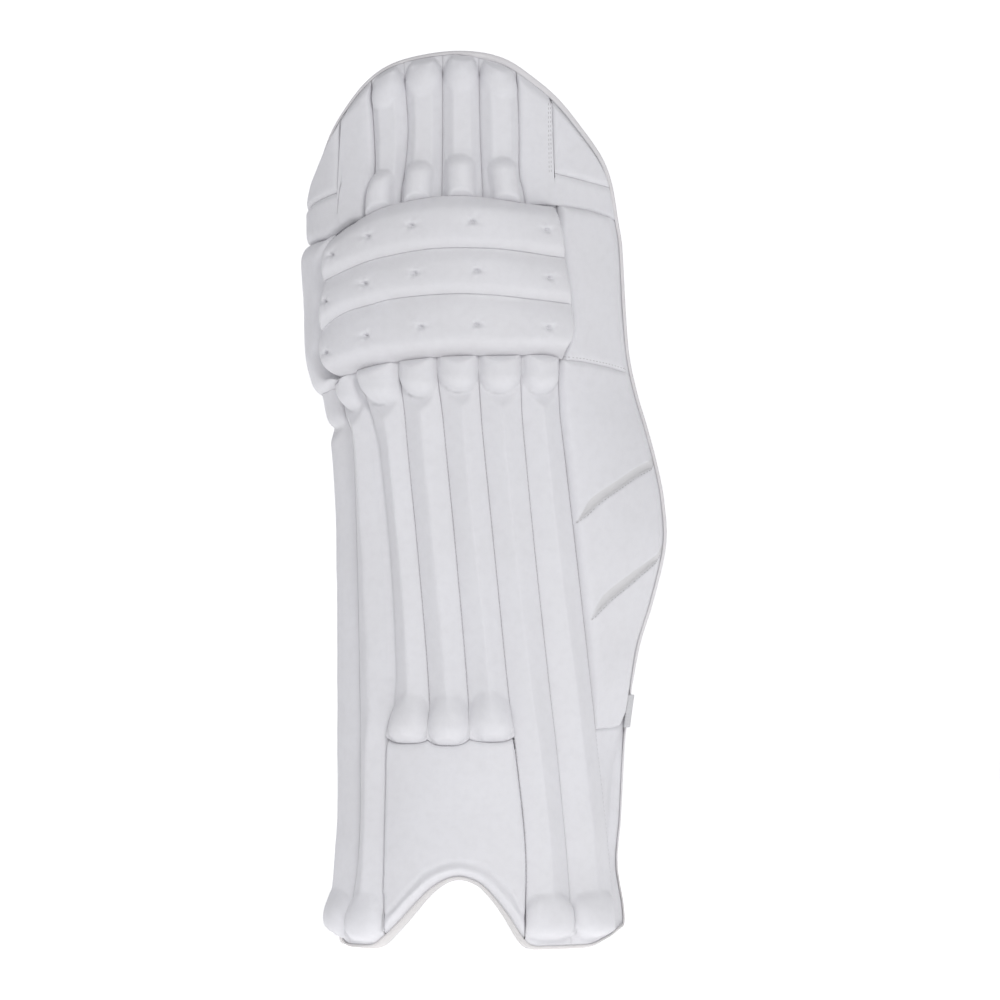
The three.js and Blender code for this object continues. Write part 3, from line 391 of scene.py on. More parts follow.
# %% Read the body
def read_smooth(rows, key, column, place):
    """A column's value at a place, on a smooth curve through the rows."""
    keys, values = rows[key], rows[column]
    place = np.clip(np.asarray(place, float), keys[0], keys[-1])
    row = np.clip(np.searchsorted(keys, place) - 1, 0, len(keys) - 2)
    before = np.maximum(np.arange(len(keys)) - 1, 0)
    after = np.minimum(np.arange(len(keys)) + 1, len(keys) - 1)
    slope = (values[after] - values[before]) / (keys[after] - keys[before])
    span = keys[row + 1] - keys[row]
    s = (place - keys[row]) / span
    bend = (1 - s) * slope[row] - s * slope[row + 1]
    return blend(values[row], values[row + 1], smooth_step(s)) + s * (1 - s) * span * bend


def section_at(level):
    share = {name: read_smooth(BODY, "level", name, level) for name in BODY if name != "level"}
    crest = share["crest"] * PAD_WIDTH
    return {
        "crest": crest,
        "front": share["front"] * WRAP_DEPTH,
        "left_reach": crest - share["left"] * PAD_WIDTH,
        "right_reach": share["right"] * PAD_WIDTH - crest,
        "left_depth": share["left_depth"] * WRAP_DEPTH,
        "right_depth": share["right_depth"] * WRAP_DEPTH,
    }


def body_at(turn, level):
    """The point at each turn and level, and the level direction away from the leg."""
    turn, level = np.broadcast_arrays(np.asarray(turn, float), np.asarray(level, float))
    s = section_at(level)
    angle, right, on_left = positive(-turn) * math.pi / 2, positive(turn), turn < 0
    x = s["crest"] + np.where(on_left, -s["left_reach"] * np.sin(angle), s["right_reach"] * right)
    left_back, right_back = s["left_depth"] * (1 - np.cos(angle)), s["right_depth"] * right**WING_CURVE
    y = s["front"] + np.where(on_left, left_back, right_back)
    climb = s["right_depth"] * WING_CURVE * right ** (WING_CURVE - 1)
    out_x = np.where(on_left, -s["left_depth"] * np.sin(angle), climb)
    out_y = np.where(on_left, -s["left_reach"] * np.cos(angle), -s["right_reach"])
    size = np.hypot(out_x, out_y)
    point = np.stack([x, y, level * PAD_HEIGHT], -1)
    return point, np.stack([out_x / size, out_y / size, np.zeros_like(x)], -1)


def placed(turn, level, rise):
    point, outward = body_at(turn, level)
    return point + outward * np.broadcast_to(rise, point.shape[:-1])[..., None]


def turn_at(across, level, rise=CANE_EDGE):
    """The turn that shows at a place across in the front view."""
    across, level = np.broadcast_arrays(np.asarray(across, float), np.asarray(level, float))
    s = section_at(level)
    reach = across * PAD_WIDTH - s["crest"]
    left = -np.arcsin(np.clip(-reach / (s["left_reach"] + rise), -1, 1)) / (math.pi / 2)
    turn = reach / s["right_reach"]
    for _ in range(6):
        climb = s["right_depth"] * WING_CURVE * unit(turn) ** (WING_CURVE - 1)
        turn = (reach - rise * climb / np.hypot(climb, s["right_reach"])) / s["right_reach"]
    return np.where(reach < 0, left, unit(turn))


def change(of, place):
    """How much a function changes there, for a change of 1."""
    return (of(np.add(place, PROBE)) - of(np.subtract(place, PROBE))) / (2 * PROBE)


def girth_at(turn, level):
    """How many millimetres one whole turn would measure at a place."""
    return np.linalg.norm(change(lambda near_by: body_at(near_by, level)[0], turn), axis=-1)


# %% [markdown]
# ### Rim
# The rounded top and the arched foot are read as levels by turn. Pieces near the rim stop a
# margin inside it, measured square to the edge, where the binding is sewn.

# %% Read the rim
def edge_by_turn(rows, wrapped):
    turns = turn_at(rows["across"], rows["level"])
    kept = [(t, l) for t, l in zip(turns, rows["level"]) if t > wrapped[-1][0] + 0.02]
    return table("turn level", *wrapped, *kept)


top_rows = edge_by_turn(TOP_EDGE, WRAPPED_TOP)
foot_rows = edge_by_turn(FOOT_EDGE, WRAPPED_FOOT)


def even_turn(turn, edge_level):
    """A turn stretched so that it runs evenly over the crest, where the two halves meet."""
    s = section_at(edge_level)
    ratio = s["left_reach"] * math.pi / 2 / s["right_reach"]
    return np.where(np.asarray(turn) < 0, np.multiply(turn, ratio), turn)


top_rows["even"] = even_turn(top_rows["turn"], 1.0)
foot_rows["even"] = even_turn(foot_rows["turn"], 0.05)


def top_level(turn):
    return read_smooth(top_rows, "even", "level", even_turn(turn, 1.0))


def foot_level(turn):
    return np.maximum(0, read_smooth(foot_rows, "even", "level", even_turn(turn, 0.05)))


def inside_edge(edge, side, margin):
    """A line at a margin from an edge, measured square to it except where it is steep."""
    def level_at(turn):
        lean = change(edge, turn) * PAD_HEIGHT / girth_at(turn, edge(turn))
        return edge(turn) + side * margin * np.minimum(2.5, np.hypot(1, lean)) / PAD_HEIGHT
    return level_at


inner_top = inside_edge(top_level, -1, RIM_MARGIN)
inner_foot = inside_edge(foot_level, 1, RIM_MARGIN)
wing_rim = {key: top_rows[key][top_rows["turn"] > 0.5][::-1] for key in ("level", "turn")}


def rim_turn(level):
    return np.interp(level, wing_rim["level"], wing_rim["turn"])


def wing_side(level):
    """The turn of the right rim's inner edge at a level."""
    girth = girth_at(rim_turn(level), level)
    lean = change(rim_turn, level) * girth / PAD_HEIGHT
    return rim_turn(level) - WING_MARGIN * np.hypot(1, lean) / girth


backing_turns = np.linspace(-FLANK_WRAP_TURN, 1, 29)
backing_shares = np.linspace(0, 1, 27)[:, None]
backing_levels = blend(foot_level(backing_turns), top_level(backing_turns), backing_shares)
body_points = placed(backing_turns, backing_levels, 0).reshape(-1, 3)
body_low, body_high = body_points.min(0), body_points.max(0)
packed_low, packed_high = np.array(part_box("backing")) * 1000
SHIFT = packed_low - body_low  # the fronts meet, the middles meet, and both stand on the floor
SHIFT[0] = (packed_low[0] + packed_high[0] - body_low[0] - body_high[0]) / 2
SHIFT[2] = 0
print("shift to the packed model, mm:", SHIFT.round(2))


# %% Follow the rim all round
def run_along(line):
    """How far along a line each of its points is."""
    return np.concatenate([[0], np.cumsum(np.linalg.norm(np.diff(line, axis=0), axis=1))])


def rim_loop(pitch=2.6):
    """Turns and levels round the whole rim, evenly spaced and with softened corners."""
    turns = np.linspace(-FLANK_WRAP_TURN, 1, 500)
    shares = np.linspace(0, 1, 160)[1:-1]
    foot = np.stack([turns, foot_level(turns)], -1)
    top = np.stack([turns, top_level(turns)], -1)[::-1]
    right, left = (blend(a, b, shares[:, None]) for a, b in ((foot[-1], top[0]), (top[-1], foot[0])))
    loop = np.concatenate([foot, right, top, left, foot[:1]])
    steps = run_along(placed(loop[:, 0], loop[:, 1], 0))
    marks = np.linspace(0, steps[-1], round(steps[-1] / pitch) + 1)[:-1]
    even = np.stack([np.interp(marks, steps, column) for column in loop.T], -1)
    for _ in range(round(40 / pitch**2)):
        even = 0.5 * even + 0.25 * (np.roll(even, 1, 0) + np.roll(even, -1, 0))
    return even, steps[-1]


rim, rim_length = rim_loop()
print("rim length", round(rim_length), "mm,", len(rim), "stations")
rim_line = rim_loop(pitch=0.6)[0]
rim_tree = KDTree(len(rim_line))
for station, place in enumerate(placed(rim_line[:, 0], rim_line[:, 1], 0)):
    rim_tree.insert(place, station)
rim_tree.balance()


def off_rim(points):
    """How far points of the body are from the rim, in millimetres."""
    return np.array([rim_tree.find(p)[2] for p in points.reshape(-1, 3)]).reshape(points.shape[:-1])


# %% [markdown]
# ## How a padded piece is made
# A piece lies between four edges. Its outer sheet is a grid of points on the body that is
# lifted by a height at each point, and its inner sheet lies on the body. The heights need
# the distances to the piece's own rims, because a sewn rim is drawn down and the filling
# pushes up beside it. The grid is finer at the rims, where that roundness shows.

# %% Grids of points between four edges
SEAM_GAP = 0.06
RIM_STEPS = (0, 0.35, 0.9, 1.8, 3.0)
SETTLING_ROUNDS = 9  # a spot's turn and level depend on each other, so they are found in rounds


def fine_shares(length, step, marks=()):
    """Shares along a length, with small steps at both ends and even ones between."""
    rim = [d / length for d in RIM_STEPS]
    count = max(2, round(length * (1 - 2 * rim[-1]) / step))
    middle = np.linspace(rim[-1], 1 - rim[-1], count + 1)[1:-1]
    clear = 0.35 * step / length
    middle = [m for m in middle if all(abs(m - mark) > clear for mark in marks)]
    return np.array(sorted({*rim, *middle, *marks, *(1 - r for r in rim)}))


def spots_between(edges, u, v):
    """The turns and levels of spots between four edges, at their shares across and along."""
    level = np.full_like(u, 0.5)
    turn = (edges["left"](level) + edges["right"](level)) / 2
    foot_gap = SEAM_GAP / 2 / PAD_HEIGHT
    for _ in range(SETTLING_ROUNDS):
        level = blend(edges["foot"](turn) + foot_gap, edges["top"](turn) - foot_gap, v)
        start, end = edges["left"](level), edges["right"](level)
        side_gap = SEAM_GAP / 2 / girth_at((start + end) / 2, level)
        turn = blend(start + side_gap, end - side_gap, u)
    return turn, level


def distances(points):
    """How far each point of a grid is from its four rims, in millimetres over the surface."""
    def travelled(axis):
        steps = np.linalg.norm(np.diff(points, axis=axis), axis=-1)
        start = np.zeros_like(steps[:1] if axis == 0 else steps[:, :1])
        return np.cumsum(np.concatenate([start, steps], axis), axis)
    across, along = travelled(1), travelled(0)
    off = {"left": across, "right": across[:, -1:] - across, "foot": along, "top": along[-1:] - along}
    return {**off, "rim": np.minimum.reduce(list(off.values()))}


def round_off(distance, reach):
    """0 at a rim, 1 from the reach inwards, on a quarter circle."""
    return np.sqrt(1 - (1 - unit(distance / reach)) ** 2)


def ease_off(distance, reach):
    """0 at a rim, 1 from the reach inwards, on a parabola, which isn't steep at the rim."""
    return 1 - (1 - unit(distance / reach)) ** 2


def smooth_max(a, b, softness):
    """The greater of two heights, with the corner where they cross filled in."""
    share = unit(0.5 + 0.5 * (a - b) / softness)
    return blend(b, a, share) + softness * share * (1 - share)


def smooth_min(a, b, softness):
    return -smooth_max(-a, -b, softness)


def unevenness(points, size, amount):
    """The slight lumps of filling and leather, from smooth noise of that size."""
    flat = points.reshape(-1, 3) / size
    return amount * np.array([noise.noise(Vector(p)) for p in flat]).reshape(points.shape[:-1])


# %% Close two sheets into a piece
def close_sheets(outer, inner):
    """Points and faces of a closed piece. Rows run from the foot up, left to right from outside."""
    points = np.concatenate([outer.reshape(-1, 3), inner.reshape(-1, 3)])
    front = np.arange(outer.shape[0] * outer.shape[1]).reshape(outer.shape[:2])
    back = np.arange(inner.shape[0] * inner.shape[1]).reshape(inner.shape[:2]) + front.size
    faces = []

    def skin(grid, flip):
        corners = (grid[:-1, :-1], grid[:-1, 1:], grid[1:, 1:], grid[1:, :-1])
        quads = np.stack(corners if not flip else corners[::-1], -1).reshape(-1, 4)
        faces.extend(map(tuple, quads.tolist()))

    def stitch(first, second):
        """Joins two rows of points by triangles, always with the shorter diagonal."""
        def far(i, j):
            if i == len(first) or j == len(second):
                return float("inf")
            return np.linalg.norm(points[first[i]] - points[second[j]])

        i = j = 0
        while i < len(first) - 1 or j < len(second) - 1:
            if far(i + 1, j) <= far(i, j + 1):
                faces.append((first[i], second[j], first[i + 1]))
                i += 1
            else:
                faces.append((first[i], second[j], second[j + 1]))
                j += 1

    skin(front, False)
    skin(back, True)
    stitch(back[:, 0].tolist(), front[:, 0].tolist())
    stitch(front[:, -1].tolist(), back[:, -1].tolist())
    stitch(front[0].tolist(), back[0].tolist())
    stitch(back[-1].tolist(), front[-1].tolist())
    return points, faces


def every(values, step):
    """Every so many of a list, with its last one."""
    kept = list(values[::step])
    if kept[-1] != values[-1]:
        kept.append(values[-1])
    return np.array(kept)


# %% Turn points into an object of the pad
def make_object(name, points, faces, finish, stands_for=(), attributes=None, uv=None):
    mesh = bpy.data.meshes.new(name)
    mesh.from_pydata(((points + SHIFT) / 1000).tolist(), [], faces)
    mesh.materials.append(finish)
    mesh.shade_smooth()
    for key, values in (attributes or {}).items():
        mesh.attributes.new(key, "FLOAT", "POINT").data.foreach_set("value", np.asarray(values, np.float32))
    if uv is not None:
        loops = np.empty(len(mesh.loops), int)
        mesh.loops.foreach_get("vertex_index", loops)
        mesh.uv_layers.new(name="cloth").data.foreach_set("uv", np.asarray(uv, np.float32)[loops].ravel())
    piece = bpy.data.objects.new(name, mesh)
    bpy.context.scene.collection.objects.link(piece)
    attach(piece, "root")
    if stands_for:
        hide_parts(*stands_for)
    return piece


# %% Pad a piece
LUMPS = ((34, 0.5, 0), (11, 0.14, 500))  # their size and height, and where in the noise they are read
CALM_RIM = 5
TUCKED_RISE = 1.0
TUCKED_REACH = 2.7
LIP_WIDENING = 2.6
EDGE_TUCK = 0.25


def padded_piece(name, edges, height, across, along, seam_reach=1.1, stands_for=None,
                 under=(4, 8), foot_shade=0.0):
    """A padded leather piece. height(at) gives its rise off the body at spots, of which at knows
    the shares u and v, the turn and level, and how far off the piece's rims and the pad's edge
    they are. under says how much coarser its inner sheet is."""
    u, v = np.meshgrid(across, along)
    turn, level = spots_between(edges, u, v)
    base = placed(turn, level, 0)
    at = SimpleNamespace(u=u, v=v, turn=turn, level=level, inlay_and_painted_shade=u * 0, **distances(base))
    at.edge = off_rim(base)
    lift = sum(unevenness(base + shift, size, amount) for size, amount, shift in LUMPS)
    outer = placed(turn, level, np.maximum(height(at) + lift * unit(at.rim / CALM_RIM), SEAT_GAP))
    inner_u, inner_v = np.meshgrid(every(across, under[0]), every(along, under[1]))
    inner = placed(*spots_between(edges, inner_u, inner_v), SEAT_GAP * 0.6)
    points, faces = close_sheets(outer, inner)
    # painted shade and dirt near the rims; foot_shade adds painted shade along the foot
    seam = np.maximum(np.exp(-at.rim / seam_reach), foot_shade * bell(at.foot, 8))
    marks = {"seam": np.append(seam, inner_u * 0 + 1), "inlay_and_painted_shade": np.append(at.inlay_and_painted_shade, inner_u * 0)}
    piece = make_object(f"{name}_leather", points, faces, leather, stands_for or (name,), marks)
    print(f"{name}: {len(faces)} faces")
    return piece


def widened(turn, level):
    """1 where the binding folds wider over the front: round the upper right, down to the wing."""
    right_of_crest, above_ankle = (turn - 0.05) / 0.2, (level - 0.28) / 0.05
    return unit(right_of_crest) * unit(above_ankle)


def under_binding(rise, at, steep=2.4):
    """Keeps a piece thin where it lies under the folded binding."""
    reach = TUCKED_REACH + LIP_WIDENING * widened(at.turn, at.level)
    return np.minimum(rise, TUCKED_RISE + positive(at.edge - reach) * steep)


def nearest(at, sides):
    return np.minimum.reduce([getattr(at, side) for side in sides])


def sewn_sides(at, edge_height, *sides, steep=3.0):
    """The most a piece may rise beside the rims it is sewn down at. Its other rims stay open."""
    rim = nearest(at, sides)
    return edge_height - EDGE_TUCK * (1 - round_off(rim, 1.0)) + rim * steep


# %% [markdown]
# ## Shin canes
# Seven long canes run down the shin. A cane is a stiff stuffed tube under leather, pressed
# to a roof with a narrow ridge, and it ends in a domed cap below the knee and a round or
# boxy bulb at its foot. They could be bevelled boxes bent along a curve, but their widths
# change with every seam, so each is a sheet between two seams with a roof-shaped height.

# %% Seams of the shin canes
SEAM_NAMES = ("one", "two", "three", "four", "five", "six", "seven")
SHIN_SEAMS = table(
    "level " + " ".join(SEAM_NAMES),
    (0.015, -0.375, -0.271, -0.158, -0.044, 0.107, 0.236, 0.354),
    (0.110, -0.344, -0.271, -0.158, -0.044, 0.109, 0.218, 0.335),
    (0.227, -0.341, -0.263, -0.158, -0.044, 0.080, 0.191, 0.304),
    (0.277, -0.342, -0.250, -0.153, -0.047, 0.064, 0.177, 0.291),
    (0.433, -0.350, -0.265, -0.183, -0.079, 0.026, 0.136, 0.248),
    (0.569, -0.362, -0.298, -0.215, -0.111, -0.007, 0.104, 0.209),
    (0.594, -0.380, -0.307, -0.220, -0.117, -0.012, 0.099, 0.202),
    (0.637, -0.400, -0.340, -0.233, -0.131, -0.019, 0.095, 0.197),
)
SHIN_CANES = table(
    "cap_end foot boxed cap_rise cap_square",
    (0.579, 0.008, 0, 11, 3), (0.598, 0.006, 0, 14, 2),
    (0.605, 0.228, 0, 16.5, 2), (0.613, 0.226, 0, 16.5, 2), (0.618, 0.230, 0, 16.5, 2),
    (0.617, 0.011, 1, 16.5, 2), (0.617, 0.011, 1, 16.5, 2),
)
FLAP_CORNER = table(
    "across level", (-0.470, 0.615), (-0.440, 0.620), (-0.424, 0.6245), (-0.408, 0.630), (-0.398, 0.634))
VALLEY_WIDTH = 5.5
INSTEP_TOP_LEVEL = 0.222


def fixed_turn(value):
    return lambda level: np.full_like(np.asarray(level, float), value)


def seam_of(rows, index, shift=0.0):
    """The turns by level of a seam in a table, moved sideways by millimetres."""
    def turn_of(level):
        turn = turn_at(read_smooth(rows, "level", SEAM_NAMES[index], level), level)
        return turn + (shift(level) if callable(shift) else shift) / girth_at(turn, level)
    return turn_of


def shin_seam(index, shift=0.0):
    return seam_of(SHIN_SEAMS, index, shift) if index >= 0 else fixed_turn(-FLANK_COVER_TURN)


def valley_edge(level):
    """Where the valley right of the second cane ends, from their seam. Bulbs and caps close it."""
    return np.interp(level, (0.24, 0.30, 0.565, 0.595), (-1.5, VALLEY_WIDTH / 2, VALLEY_WIDTH / 2, -1.2))


# %% Seams of the knee bolsters, where the canes end
ROLL_RISE = 25
ROLL_EDGE = 7
ROLL_SHOULDER = ROLL_EDGE + 0.6 * (ROLL_RISE - ROLL_EDGE)
ROLL_LEFT_TURN = -0.92
CAP_SEAT = 11.5
ROLL_SEAMS = table(
    "across upper second third lower",
    (-0.464, 0.781, 0.741, 0.689, 0.626),
    (-0.437, 0.790, 0.746, 0.699, 0.630),
    (-0.390, 0.803, 0.755, 0.710, 0.638),
    (-0.329, 0.818, 0.765, 0.717, 0.647),
    (-0.271, 0.827, 0.771, 0.723, 0.652),
    (-0.150, 0.836, 0.779, 0.728, 0.658),
    (-0.059, 0.838, 0.780, 0.729, 0.660),
    (0.032, 0.835, 0.779, 0.727, 0.660),
    (0.120, 0.830, 0.775, 0.723, 0.661),
    (0.167, 0.828, 0.772, 0.721, 0.661),
    (0.208, 0.826, 0.770, 0.719, 0.657),
    (0.233, 0.824, 0.769, 0.717, 0.653),
)
ROLL_SEAMS["turn"] = turn_at(ROLL_SEAMS["across"], ROLL_SEAMS["second"], ROLL_SHOULDER)
ROLL_SEAMS["lower_turn"] = turn_at(ROLL_SEAMS["across"], ROLL_SEAMS["lower"], CAP_SEAT)
ROLL_SIDES = table(
    "level left right",
    (0.634, -0.410, 0.191), (0.639, -0.433, 0.194), (0.648, -0.450, 0.202),
    (0.666, -0.464, 0.215), (0.682, -0.466, 0.230), (0.701, -0.464, 0.233),
    (0.747, -0.460, 0.218), (0.796, -0.455, 0.203), (0.818, -0.451, 0.193), (0.834, -0.448, 0.176),
)


def roll_side(side):
    seated = ROLL_SHOULDER if side == "left" else ROLL_EDGE
    return lambda level: np.maximum(
        ROLL_LEFT_TURN, turn_at(read_smooth(ROLL_SIDES, "level", side, level), level, seated))


def roll_seam(name):
    turns = "lower_turn" if name == "lower" else "turn"
    return lambda turn: read_smooth(ROLL_SEAMS, turns, name, turn)


corner_turns = turn_at(FLAP_CORNER["across"], FLAP_CORNER["level"], CAP_SEAT)
corner_turns[0] = -FLANK_WRAP_TURN


def cane_top(turn):
    """The canes go up to the lower bolster, and left of it to the knee flap."""
    at_corner = np.interp(turn, corner_turns, FLAP_CORNER["level"])
    return np.where(turn < corner_turns[-1], at_corner, np.maximum(at_corner, roll_seam("lower")(turn)))


# %% Height of a cane, and the seven canes
CANE_RIDGE = 11
RIDGE_ROUNDNESS = 0.07
CAP_END = 16
DOME_WIDTH = 1.03
BULB_FORMS = ((17, 2.1, 15.5), (15, 2.8, 14))  # reach, squareness and rise of a round and a boxy end
LOW_FLANGE = 1.7
VALLEY_DEPTH = 1.3
LAST_CORNER = 0.012
BULB_CENTRE = 0.97
BULB_FLARE = 1.35
RIDGE_FADE = (0.2, 1.4)  # from how far below a bulb's centre, and over how much, in its reaches
SHOULDER_SLOPE = 0.75
SHOULDER_START = 1.5
STRIP_SOFTNESS = 2.0
SEAT_REACH = 2.5
TOP_SLOPE = 1.2
SIDE_SLOPE = 3
SECOND_SIDE_SLOPE = 2
FOOT_END_SLOPE = 1.7
FOOT_END_REACH = 3.0
LAST_OVERHANG = 0.6
CREASE = 1.2
BULB_SOFTNESS = 7
FOOT_CUSP = 3.5
FOOT_SQUARE = 3.2
TOP_SEAT = 11.5
FULL_SEAT = 3.5


def dome(u, away, up, down, wide, square, rise):
    """A rounded bump. away is the height above its centre; square 2 is round, more is boxy."""
    reach = np.where(away > 0, up, down)
    side = (np.abs(2 * u - 1) / wide) ** square
    end = np.where(np.isinf(reach), 0, (np.abs(away) / np.where(np.isinf(reach), 1, reach)) ** square)
    return rise * positive(1 - side - end) ** (1 / square)


def roof(u):
    """A ridge's height share: 0 at the seams, 1 at the rounded ridge."""
    high = np.hypot(1, RIDGE_ROUNDNESS)
    return (high - np.hypot(2 * u - 1, RIDGE_ROUNDNESS)) / (high - RIDGE_ROUNDNESS)


def cane_sides(index):
    """A cane's two seams. The second and the third leave a valley between them."""
    left = shin_seam(index - 1, valley_edge if index == 2 else 0)
    return left, shin_seam(index, valley_edge if index == 1 else 0)


def rounded_foot(index, turn):
    """A cane's lower edge: it curves up to a cusp at both seams, shared with its neighbour."""
    left, right = cane_sides(index)
    lows = SHIN_CANES["foot"]
    low = lows[index]
    start, end = left(low + 0.01), right(low + 0.01)
    side = np.clip(2 * (turn - start) / (end - start) - 1, -1, 1)
    cusp = FOOT_CUSP * (1 if low > INSTEP_TOP_LEVEL else 0.5) / PAD_HEIGHT

    def joint(other):
        same_row = 0 <= other < 7 and abs(lows[other] - low) < 0.01
        return (low + lows[other]) / 2 + cusp if same_row else low + cusp
    outer = low + cusp + (LAST_CORNER if index == 6 else 0)
    ends = np.where(side < 0, joint(index - 1), outer if index == 6 else joint(index + 1))
    return blend(low, ends, np.abs(side) ** FOOT_SQUARE)


for index in range(7):
    cap_end, cane_foot, boxed, cap_rise, cap_square = (column[index] for column in SHIN_CANES.values())
    left, right = cane_sides(index)
    stops_high = cane_foot > INSTEP_TOP_LEVEL
    reach, bulb_square, bulb_rise = BULB_FORMS[int(boxed)]

    def cane_height(at):
        u, beside = at.u, at.right
        if index == 1:
            strip_width = valley_edge(at.level) + VALLEY_WIDTH / 2
            beside = positive(at.right - strip_width)
            u = at.left / (at.left + beside + 1e-6)
        cap_away = (at.level - cap_end) * PAD_HEIGHT - CAP_END
        foot_away = (at.level - cane_foot) * PAD_HEIGHT - reach * BULB_CENTRE
        cap_edge = -cap_away - CAP_END * np.sqrt(unit(1 - (2 * u - 1) ** 2))
        hip = positive(cap_edge + SHOULDER_START) * SHOULDER_SLOPE
        fade = smooth_step(unit((foot_away / reach + RIDGE_FADE[0]) / RIDGE_FADE[1]))
        strip = CANE_EDGE + smooth_min((CANE_RIDGE - CANE_EDGE) * roof(u) * fade, hip, STRIP_SOFTNESS)
        cap = dome(u, cap_away, np.inf, CAP_END, DOME_WIDTH, cap_square, cap_rise)
        bulb = dome(u, foot_away, reach * BULB_FLARE, reach, DOME_WIDTH, bulb_square, bulb_rise)
        full = np.maximum(unit(cap_away / 10 + 0.8), unit(1 - foot_away / reach))
        seat = CANE_EDGE + FULL_SEAT * smooth_step(full) * bell(np.minimum(at.left, beside), SEAT_REACH)
        tall = smooth_max(smooth_max(strip, cap, CREASE), bulb, BULB_SOFTNESS)
        tall = np.minimum(np.maximum(tall, seat), TOP_SEAT + at.top * TOP_SLOPE)
        if index == 1:
            tall = np.minimum(tall, seat + beside * SIDE_SLOPE)
            tall -= VALLEY_DEPTH * np.sin(math.pi * unit(at.right / strip_width)) ** 0.6
        if index == 6:
            base, outward = body_at(at.turn, at.level)
            last_seam = read_smooth(SHIN_SEAMS, "level", "seven", at.level) * PAD_WIDTH
            room = last_seam + LAST_OVERHANG - base[..., 0]
            tall = smooth_min(tall, room / np.maximum(outward[..., 0], 0.25), 2)
        steep = SECOND_SIDE_SLOPE if index == 1 else SIDE_SLOPE
        tall = np.minimum(tall, sewn_sides(at, seat, "left", "right", steep=steep))
        if stops_high:
            return np.minimum(tall, sewn_sides(at, CANE_EDGE, "foot", steep=FOOT_END_SLOPE))
        above = (at.level - rounded_foot(index, at.turn)) * PAD_HEIGHT
        return under_binding(blend(LOW_FLANGE, tall, ease_off(above, FOOT_END_REACH)), at)

    width = float(girth_at(0, 0.4) * (right(0.4) - left(0.4)))
    length = float((cane_top(right(0.62)) - cane_foot) * PAD_HEIGHT)
    ridge = 0.5 - VALLEY_WIDTH / 2 / width if index == 1 else 0.5
    foot = (lambda turn: rounded_foot(index, turn)) if stops_high else inner_foot
    padded_piece(
        f"shin_cane_{index + 1}",
        {"left": left, "right": right, "foot": foot, "top": cane_top}, cane_height,
        fine_shares(width, 1.7, marks=(ridge - 0.02, ridge, ridge + 0.02)), fine_shares(length, 1.9),
    )

# %% [markdown]
# ## Short canes above the knee
# Four short canes have a flat top between two slopes, a domed cap under the rim and a
# thumb-shaped bump that comes up from behind the top bolster.

# %% The four short canes
TOP_SEAMS = table(
    "level one two three four five",
    (0.820, -0.320, -0.233, -0.120, -0.006, 0.112),
    (0.845, -0.318, -0.229, -0.119, -0.008, 0.102),
    (0.862, -0.303, -0.222, -0.118, -0.010, 0.092),
    (0.915, -0.306, -0.212, -0.117, -0.015, 0.091),
    (0.993, -0.321, -0.227, -0.117, -0.018, 0.084),
)
THUMBS = table(
    # the tip's level, the thumb's middle as a share of the cane, and its half width in mm
    "tip middle half",
    (0.869, 0.42, 11.8), (0.879, 0.44, 11.3), (0.886, 0.445, 11.8), (0.883, 0.515, 11.6),
)
TOP_CANE_RISE = 10.5
TOP_CAP_RISE = 14
TOP_CAP_REACH = 17
FLANGE_RISE = 1.2
THUMB_RISE = 18.5
THUMB_REACH = 12
THUMB_SQUARE = 2.3
SLOPE_SHARE = 0.27


def top_seam(index):
    return seam_of(TOP_SEAMS, index)


for index in range(4):
    tip, middle, half = (column[index] for column in THUMBS.values())

    def short_height(at):
        slope = unit(np.minimum(at.u, 1 - at.u) / SLOPE_SHARE)
        strip = blend(CANE_EDGE, TOP_CANE_RISE, smooth_min(slope, 0.98, 0.06))
        cap_away = at.top - TOP_CAP_REACH
        cap = dome(at.u, cap_away, TOP_CAP_REACH * 1.15, TOP_CAP_REACH, 1.0, 2, TOP_CAP_RISE)
        inside_cap = 1 - (2 * at.u - 1) ** 2 - (positive(-cap_away) / TOP_CAP_REACH) ** 2
        on_cap = np.where(cap_away < 0, unit(inside_cap / 0.15), 1)
        across_thumb = np.abs((at.u - middle) * (at.left + at.right) / half)
        along_thumb = positive((at.level - tip) * PAD_HEIGHT / THUMB_REACH + 1)
        inside_thumb = positive(1 - across_thumb**THUMB_SQUARE - along_thumb**THUMB_SQUARE)
        tall = smooth_max(blend(FLANGE_RISE, strip, on_cap), cap, CREASE)
        tall = smooth_max(tall, THUMB_RISE * inside_thumb ** (1 / THUMB_SQUARE), 0.8)
        tall = np.minimum(tall, TOP_SEAT + at.foot * 1.4)
        full = unit(cap_away / 8 + 0.8) * unit(inside_cap / 0.3)
        seat = blend(FLANGE_RISE, CANE_EDGE, on_cap) + 0.7 * FULL_SEAT * smooth_step(full)
        tall = np.minimum(np.maximum(tall, seat), sewn_sides(at, seat, "left", "right"))
        return under_binding(tall, at)

    edges = {"left": top_seam(index), "right": top_seam(index + 1)}
    edges.update(foot=roll_seam("upper"), top=inner_top)
    padded_piece(f"top_cane_{index + 1}", edges, short_height, fine_shares(30, 1.1), fine_shares(100, 1.3),
                 under=(5, 8))

# %% [markdown]
# ## Knee bolsters
# Three bolsters lie over the knee like shingles: each bulges most near its lower edge and
# is tucked under the one above. They are the softest pieces, so the cloth solver stuffs
# them: the sewn rims and the five ties are held, and pressure swells the rest between them.
# The ties are then drawn in to dimples with short puckers round them.

# %% Stuff a piece with the cloth solver
STUFFING_STEPS = 20
STUFFING_PRESSURE = 4
MOST_SWELL = 1.8


def points_of(mesh):
    """A mesh's points in the body's millimetres."""
    flat = np.empty(len(mesh.vertices) * 3)
    mesh.vertices.foreach_get("co", flat)
    return flat.reshape(-1, 3) * 1000 - SHIFT


def move_points(piece, points):
    piece.data.vertices.foreach_set("co", ((points + SHIFT) / 1000).ravel())
    piece.data.update()


